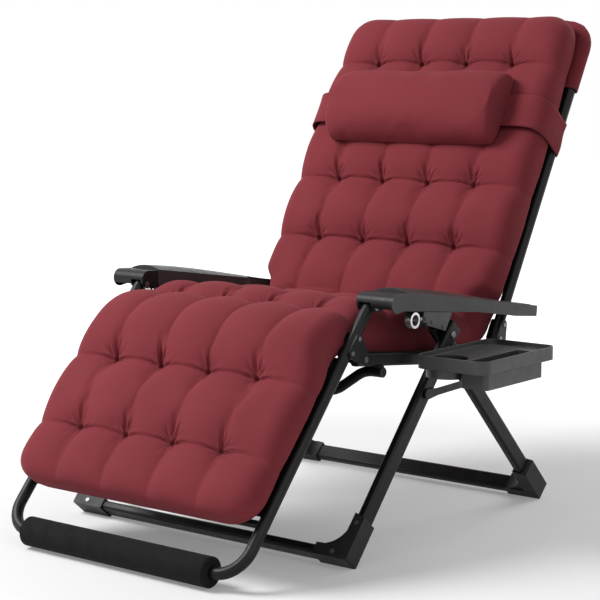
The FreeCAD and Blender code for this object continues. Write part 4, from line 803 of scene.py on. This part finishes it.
def cloth_finish(name, colour, fuzz=0.12, rough=CLOTH_ROUGH, sheen=CLOTH_SHEEN,
                 threads=THREAD_COUNT, wander=1.2, weave_height=WEAVE_HEIGHT, weave_strength=0.35):
    """Plain-woven cloth: threads in the piece's own cloth map, with slubs, nap and a soft sheen."""
    material, tree, shader = new_finish(name)
    place = add_node(tree, "TexCoord", {}).outputs
    tone = uneven_colour(tree, place["Object"], colour, 0.05, 9.0, 6.0)
    warp, weft = [add_node(tree, "TexWave", {
        "Scale": threads, "Distortion": wander, "Detail": 2.0, "Detail Scale": 1.5, "Vector": place["UV"],
    }, wave_type="BANDS", bands_direction=way, wave_profile="SIN").outputs["Fac"] for way in ("X", "Y")]
    crossed = reckon(tree, "MULTIPLY", warp, weft)
    dim = add_node(tree, "MapRange", {"Value": crossed, "To Min": 0.90, "To Max": 1.04})
    shade = add_node(tree, "Mix", {
        "Factor": 1.0, "A": tone, "B": dim.outputs["Result"],
    }, data_type="RGBA", blend_type="MULTIPLY")
    weave = add_node(tree, "Bump", {"Strength": weave_strength, "Distance": weave_height, "Height": crossed})
    nap = add_node(tree, "TexNoise", {"Scale": 60.0, "Detail": 8.0, "Vector": place["Object"]})
    soft = add_node(tree, "Bump", {
        "Strength": 0.25, "Distance": NAP_HEIGHT, "Height": nap.outputs["Fac"], "Normal": weave.outputs["Normal"],
    })
    plug(tree, shader, {
        "Roughness": rough, "Specular IOR Level": 0.18, "Sheen Weight": fuzz, "Sheen Roughness": 0.45,
        "Sheen Tint": sheen, "Base Color": shade.outputs["Result"], "Normal": soft.outputs["Normal"],
    })
    return material


def pinch_creases(material):
    """Fine creases that fan out from each tie, drawn around the marks left on the pad."""
    tree = material.node_tree

    def ramp(value, low, high, first, last):
        return add_node(tree, "MapRange", {
            "Value": value, "From Min": low, "From Max": high, "To Min": first, "To Max": last,
        }, interpolation_type="SMOOTHSTEP").outputs["Result"]

    mark = add_node(tree, "Attribute", {}, attribute_name="tie")
    place = add_node(tree, "SeparateXYZ", {"Vector": mark.outputs["Vector"]}).outputs
    turn = reckon(tree, "ARCTAN2", place["X"], place["Y"])
    far = add_node(tree, "VectorMath", {
        0: add_node(tree, "CombineXYZ", {"X": place["X"], "Y": place["Y"]}).outputs["Vector"],
    }, operation="LENGTH").outputs["Value"]
    fan = add_node(tree, "CombineXYZ", {
        "X": reckon(tree, "MULTIPLY", turn, 2.5), "Y": reckon(tree, "MULTIPLY", far, 12.0), "Z": place["Z"],
    })
    chance = add_node(tree, "TexNoise", {"Scale": 1.0, "Detail": 1.5, "Vector": fan.outputs["Vector"]})
    off_line = reckon(tree, "ABSOLUTE", reckon(tree, "SUBTRACT", chance.outputs["Fac"], 0.5))
    line = ramp(off_line, 0.0, 0.060, 1.0, 0.0)
    faded = reckon(tree, "MULTIPLY", ramp(far, 0.008, 0.058, 1.0, 0.0), ramp(far, 0.0015, 0.006, 0.0, 1.0))
    upward = ramp(reckon(tree, "COSINE", turn), -1.0, 1.0, 0.30, 1.0)
    shader = tree.nodes["Principled BSDF"]
    crease = add_node(tree, "Bump", {
        "Strength": 0.8, "Distance": 0.0035,
        "Height": reckon(tree, "MULTIPLY", reckon(tree, "MULTIPLY", line, faded), upward),
        "Normal": shader.inputs["Normal"].links[0].from_socket,
    }, invert=True)
    plug(tree, shader, {"Normal": crease.outputs["Normal"]})


wine_cloth = cloth_finish("wine_red_polyester", WINE_RED)
pinch_creases(wine_cloth)

# The pad's cover is sewn in two lengths that meet in the valley of a tuft row on the seat,
# so each length covers one joint of the frame.
MEET_ROW = TUFT_ROWS[4]
meet_at = pad_point(0.0, MEET_ROW, 0.0)


def pad_length(name, keep_front):
    """One of the two lengths, closed where they meet."""
    shape = bmesh.new()
    shape.from_mesh(pad_mesh)
    cut = bmesh.ops.bisect_plane(
        shape, geom=shape.verts[:] + shape.edges[:] + shape.faces[:], plane_co=meet_at, plane_no=unit(SEAT_TILT),
        clear_outer=keep_front, clear_inner=not keep_front,
    )
    rim = [edge for edge in cut["geom_cut"] if isinstance(edge, bmesh.types.BMEdge)]
    closing = bmesh.ops.edgenet_fill(shape, edges=rim)
    for face in closing["faces"]:
        face.smooth = False
    for edge in rim:
        edge.smooth = False
    bmesh.ops.recalc_face_normals(shape, faces=shape.faces[:])
    piece = new_piece(name, shape, wine_cloth)
    return piece


leg_and_seat_pad = pad_length("leg_and_seat_pad", True)
back_and_seat_pad = pad_length("back_and_seat_pad", False)
bpy.data.objects.remove(whole_pad)
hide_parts("leg_cushion", "seat_cushion")
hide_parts("back_cushion")
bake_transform(leg_and_seat_pad)
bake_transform(back_and_seat_pad)


# ---------------------------------------------------------------------------
# Head pillow: a half-round bolster of the same cloth, flat towards the pad,
# filled with fibre and closed by flat end panels. It slides with its strap.
# ---------------------------------------------------------------------------
BACK_START = 1.0407                     # the armrest pivot's place along the pad
PILLOW_HALF = 0.2380
PILLOW_MIDDLE = 0.4470
PILLOW_TALL = 0.1960
PILLOW_BASE = 0.1100
PILLOW_DEEP = 0.0640
PILLOW_UNDER = 0.010                    # the side towards the pad bulges this little
PILLOW_ROUND = 2.3
END_SQUARE = 20.0
CROWDING = (1.42, 0.42)                 # the faces crowd towards the ends


def back_point(x, up, off):
    """Point on the back frame: across, up from the armrest pivot, and off the plane of its tubes."""
    return pad_point(x, BACK_START + up, off - PAD_LIFT)


pillow_shape = filled_box(64, 24, 9)
pillow_places = []
pillow_tied = []
pillow_shares = []
for vert in pillow_shape.verts:
    a, b, c = 2.0 * vert.co.x, 2.0 * vert.co.y, 2.0 * vert.co.z - 1.0
    a *= CROWDING[0] - CROWDING[1] * a * a
    reach = norm(END_SQUARE, norm(PILLOW_ROUND, b, c), a)
    across, up, out = a / reach, b / reach, c / reach
    high = PILLOW_BASE + out * (PILLOW_DEEP if out > 0.0 else PILLOW_UNDER)
    full = 1.0 - 0.06 * across * across
    x = PILLOW_HALF * across
    pillow_places.append((x, PILLOW_MIDDLE + 0.5 * PILLOW_TALL * up * full, high))
    pillow_shares.append(0.7 * clamped((0.97 - abs(x) / PILLOW_HALF) / 0.10))
    if out < -0.3:
        pillow_tied.append(vert.index)
lay_cloth(pillow_shape, [(x, up + 0.5 * high) for x, up, high in pillow_places], pillow_places, back_point)
pillow = new_piece("bolster_pillow", pillow_shape, wine_cloth, smooth=True)
settle(pillow, pillow_tied, pillow_shares, pressure=2.5, growth=0.025, frames=10, most=0.008)
refine(pillow)
for face in pillow.data.polygons:
    face.use_smooth = True
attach(pillow, "pillow")
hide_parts("head_pillow")


# ---------------------------------------------------------------------------
# Pillow strap: a wide band of the cover cloth, elastic behind, that runs over
# the pad, round both side tubes and across the back of the chair.
# ---------------------------------------------------------------------------
STRAP_LOW = 0.409
STRAP_TALL = 0.082
STRAP_ROWS = 12
STRAP_THICK = 0.0024
STRAP_DROP = 0.013                      # it hangs lower behind than in front
STRAP_SWAY = 0.0011                     # long soft waves in front
STRAP_ROLL = 0.0016                     # and a roll across its width at the sides
STRAP_EDGE = 0.0012                     # its edges stand off the pad
# Half the strap's course, from its middle in front to its middle behind: across, and off the tubes.
STRAP_SIDE = (
    (0.0, 0.1075), (0.10, 0.1075), (0.20, 0.1065), (0.262, 0.1045), (0.300, 0.1030), (0.3220, 0.0915),
    (0.3350, 0.0700), (0.3368, 0.0400), (0.3354, 0.0080), (0.3352, -0.0090), (0.3328, -0.0176),
    (0.3250, -0.0219), (0.3080, -0.0223), (0.20, -0.0223), (0.10, -0.0223), (0.0, -0.0223),
)


def thread(curve, points, closed=False):
    """A smooth line through the neighbourhood of its points, added to a curve."""
    run = curve.splines.new("NURBS")
    run.points.add(len(points) - 1)
    for point, place in zip(run.points, points):
        point.co = (*place, 1.0)
    run.order_u = 3
    run.use_cyclic_u = closed
    run.use_endpoint_u = not closed
    return run


strap_line = bpy.data.curves.new("strap_line", "CURVE")
strap_line.dimensions = "3D"
strap_loop = list(STRAP_SIDE) + [(-x, off) for x, off in reversed(STRAP_SIDE[1:-1])]
thread(strap_line, [(x, off, 0.0) for x, off in strap_loop], closed=True).resolution_u = 8
strap_guide = bpy.data.objects.new("strap_line", strap_line)
strap_path = [point.co.copy() for point in bpy.data.meshes.new_from_object(strap_guide).vertices]
bpy.data.objects.remove(strap_guide)

strap_shape = bmesh.new()
ring = [strap_shape.verts.new(point) for point in strap_path]
for start, finish in zip(ring, ring[1:] + ring[:1]):
    strap_shape.edges.new((start, finish))
strap_map = strap_shape.loops.layers.uv.new("cloth")
strap_edges = strap_shape.edges[:]
for turn in range(STRAP_ROWS):
    stretched = bmesh.ops.extrude_edge_only(strap_shape, edges=strap_edges)
    moved = [part for part in stretched["geom"] if isinstance(part, bmesh.types.BMVert)]
    strap_edges = [part for part in stretched["geom"] if isinstance(part, bmesh.types.BMEdge)]
    bmesh.ops.translate(strap_shape, verts=moved, vec=(0.0, 0.0, STRAP_TALL / STRAP_ROWS))
round_loop = 0.0
loop_at = {}
for start, finish in zip(strap_path, strap_path[1:] + strap_path[:1]):
    loop_at[round(start.x, 6), round(start.y, 6)] = round_loop
    round_loop += (finish - start).length
for face in strap_shape.faces:
    for corner in face.loops:
        along_loop = loop_at[round(corner.vert.co.x, 6), round(corner.vert.co.y, 6)]
        corner[strap_map].uv = (along_loop, corner.vert.co.z)
for vert in strap_shape.verts:
    x, off, up = vert.co
    rise = up / STRAP_TALL
    behind = clamped((0.09 - off) / 0.09)
    front = clamped(off / 0.06)
    sway = STRAP_SWAY * sin(9.0 * x / 0.1 + 1.3) * sin(pi * rise) + STRAP_ROLL * sin(2.0 * pi * rise) * behind
    lifted_edge = STRAP_EDGE * (2.0 * rise - 1.0) ** 2
    x += sway * (1.0 if x > 0.0 else -1.0) * (1.0 - front)
    vert.co = back_point(x, STRAP_LOW + up - STRAP_DROP * behind, off + (sway + lifted_edge) * front)
bmesh.ops.recalc_face_normals(strap_shape, faces=strap_shape.faces[:])
strap = new_piece("pillow_band", strap_shape, wine_cloth, smooth=True)
band = strap.modifiers.new("band", "SOLIDIFY")
band.thickness = STRAP_THICK
band.offset = 0.0
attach(strap, "pillow")
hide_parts("pillow_strap")


# ---------------------------------------------------------------------------
# Pocket: the hood of cover cloth, sewn to the pad's back, that is pulled over
# the top of the back frame and hangs down behind it.
# ---------------------------------------------------------------------------
HOOD_HALF = 0.3360
HOOD_TOP = 0.7535
HOOD_LOW = 0.5660
HOOD_CORNER = 0.0770
HOOD_ROUND = 0.0160
HOOD_DEEP = 0.0152                      # from its middle to each face, over the tube
HOOD_FRONT = 0.35                       # share of that depth in front, between the tubes
HOOD_THICK = 0.0012
TUBE_STARTS = 0.285                     # across, where it starts to round the side tube
TUBE_OVER = 0.022                       # and what it takes
HOOD_PUCKERS = 0.0009                   # small folds that fan round its corners
HOOD_HOLLOW = 0.0030                    # its back draws in above the mouth
HOLLOW_TALL = 0.16
BACK_TUBE_OFF = -0.0071                 # the tube axis below the pad line of the back

hood_shape = filled_box(72, 24, 6)
hood_places = []
for vert in hood_shape.verts:
    up = HOOD_LOW + (HOOD_TOP - HOOD_LOW) * (vert.co.y + 0.5)
    past = max(up - (HOOD_TOP - HOOD_CORNER), 0.0)
    half = HOOD_HALF - HOOD_CORNER + sqrt(max(HOOD_CORNER ** 2 - (past * 0.985) ** 2, 0.0))
    x = 2.0 * vert.co.x * half
    core_x = max(-half + HOOD_ROUND, min(half - HOOD_ROUND, x))
    core_up = min(up, HOOD_TOP - HOOD_ROUND)
    out = Vector(((x - core_x) / HOOD_ROUND, (up - core_up) / HOOD_ROUND, 2.0 * vert.co.z - 1.0))
    reach = max(abs(out.x), abs(out.y), abs(out.z))
    if reach > 0.999:
        out *= reach / norm(BOXY, *out)
    x = core_x + out.x * HOOD_ROUND
    up = core_up + out.y * HOOD_ROUND
    in_front = out.z > 0.0
    tube_near = clamped(max(abs(x) - TUBE_STARTS, up - (HOOD_TOP - 0.055)) / TUBE_OVER)
    deep = HOOD_FRONT + (1.0 - HOOD_FRONT) * tube_near if in_front else 1.0
    off = BACK_TUBE_OFF - 0.0008 + HOOD_DEEP * out.z * deep
    corner_near = exp(-(hypot(abs(x) - 0.318, up - 0.735) / 0.055) ** 2)
    pucker = sin(15.0 * atan2(up - 0.69, abs(x) - 0.27))
    off += HOOD_PUCKERS * corner_near * pucker * (1.0 if in_front else -1.0)
    if out.z < 0.0:
        off -= HOOD_HOLLOW * sin(pi * clamped((up - HOOD_LOW) / HOLLOW_TALL)) * (1.0 - tube_near)
    hood_places.append((x, up, off))
lay_cloth(hood_shape, [(x, up + off) for x, up, off in hood_places], hood_places, back_point)
mouth = [
    face for face in hood_shape.faces if all(hood_places[vert.index][1] < HOOD_LOW + 0.0001 for vert in face.verts)
]
bmesh.ops.delete(hood_shape, geom=mouth, context="FACES")
hood = new_piece("pad_hood", hood_shape, wine_cloth, smooth=True)
cloth_wall = hood.modifiers.new("cloth_wall", "SOLIDIFY")
cloth_wall.thickness = HOOD_THICK
cloth_wall.offset = 1.0
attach(hood, "backrest")
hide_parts("cushion_pocket")


# ---------------------------------------------------------------------------
# Slings: panels of woven mesh with turned hems, one each for footrest, seat
# and back, held between the side tubes by elastic cord laced through the hems.
# ---------------------------------------------------------------------------
SLING_HALF = 0.3078
SLING_THICK = 0.0011
TUBE_INSIDE = 0.3085                    # inside of tubes that take this half width
HEM_WIDE = 0.016
HEM_THICK = 0.0042
CORD_ROUND = 0.0024
LACE_STEP = 0.034
LACE_FROM_END = 0.015
LACE_PULL = 0.0005                      # the edge draws in between two laces
# One turn of the lacing, each point from the panel's or the tube's edge: aside, up and off.
LACE_TURN = (
    ("panel", -0.009, -0.003, -0.0040), ("panel", -0.001, 0.0, -0.0048),
    ("tube", 0.0010, 0.005, -0.0042), ("tube", 0.0010, 0.012, -0.0042),
    ("panel", -0.001, 0.017, -0.0048), ("panel", -0.009, 0.020, -0.0040),
)
SEAT_START = 0.4642                     # the seat's front, along the pad

black_mesh = cloth_finish(
    "black_mesh", (0.0105, 0.0105, 0.0110), 0.02, rough=0.72, sheen=(0.5, 0.5, 0.5, 1.0),
    threads=95.0, wander=0.3, weave_height=0.0006, weave_strength=0.7,
)
cord_black = surface("elastic_cord_black", (0.010, 0.010, 0.0105), 0.70, grain=2400.0, height=0.00025, shine=0.25)


def leg_point(x, up, off):
    """Point on the footrest: across, up from the armrest pivot, and off the plane of its tubes."""
    return pad_point(x, FOOT_TO_ARM + up, off - PAD_LIFT)


def seat_point(x, up, off):
    """Point on the seat: across, back from its front, and off the plane of its rails."""
    return pad_point(x, SEAT_START + up, off - PAD_LIFT)


def laced_sling(name, node, body, point_at, low, high, off, tube_inside, sag):
    """One panel with its hems, and the lacing on both its sides."""
    half = tube_inside - TUBE_INSIDE + SLING_HALF
    long = high - low
    shape = bmesh.new()
    bmesh.ops.create_grid(shape, x_segments=48, y_segments=int(long / 0.012), size=0.5)
    shape.verts.index_update()
    flat = [(vert.co.x * 2.0 * SLING_HALF, vert.co.y * long) for vert in shape.verts]
    places = []
    for vert in shape.verts:
        x = vert.co.x * 2.0 * half
        up = low + (vert.co.y + 0.5) * long
        drawn_in = LACE_PULL * (1.0 - cos(2.0 * pi * (up - low) / LACE_STEP)) * (abs(vert.co.x) > 0.49)
        x -= drawn_in * (1.0 if x > 0.0 else -1.0)
        places.append((x, up, off - sag * (1.0 - (x / half) ** 2) * sin(pi * (vert.co.y + 0.5))))
    lay_cloth(shape, flat, places, point_at)
    panel = new_piece(name, shape, black_mesh, smooth=True)
    cloth = panel.modifiers.new("cloth_wall", "SOLIDIFY")
    cloth.thickness = SLING_THICK
    cloth.offset = 0.0
    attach(panel, body)
    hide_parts(node)

    hems = bmesh.new()
    for side in (-1.0, 1.0):
        strip = filled_box(2, int(long / 0.02), 1)
        for vert in strip.verts:
            x = side * (half - 0.5 * HEM_WIDE) + vert.co.x * HEM_WIDE
            vert.co = point_at(x, low + (vert.co.y + 0.5) * long, off + (vert.co.z - 0.5) * HEM_THICK)
        strip_mesh = bpy.data.meshes.new("strip")
        strip.to_mesh(strip_mesh)
        strip.free()
        hems.from_mesh(strip_mesh)
        bpy.data.meshes.remove(strip_mesh)
    hem = new_piece(name + "_hems", hems, cord_black, smooth=False)
    soft_edge = hem.modifiers.new("soft_edge", "BEVEL")
    soft_edge.width = 0.0012
    soft_edge.segments = 2
    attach(hem, body)

    lacing = bpy.data.curves.new(name + "_lacing", "CURVE")
    lacing.dimensions = "3D"
    lacing.bevel_depth = CORD_ROUND
    lacing.bevel_resolution = 2
    lacing.resolution_u = 4
    lacing.use_fill_caps = True
    edges = {"panel": half, "tube": tube_inside}
    for side in (-1.0, 1.0):
        course = []
        for step in range(int((long - 2.0 * LACE_FROM_END) / LACE_STEP) + 1):
            up = low + LACE_FROM_END + step * LACE_STEP
            for edge, aside, rise, deep in LACE_TURN:
                course.append(point_at(side * (edges[edge] + aside), up + rise, off + deep))
        thread(lacing, course)
    cord = put(name + "_lacing", lacing)
    lacing.materials.append(cord_black)
    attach(cord, body)


laced_sling("footrest_sling", "leg_sling", "footrest", leg_point, -0.498, -0.080, -0.0020, 0.3080, 0.003)
laced_sling("seat_panel_sling", "seat_sling", "seat", seat_point, 0.040, 0.470, 0.0037, 0.3110, 0.0)
laced_sling(
    "backrest_sling", "back_sling", "backrest", back_point, 0.052, 0.670, BACK_TUBE_OFF - 0.0020, 0.3080, 0.004,
)
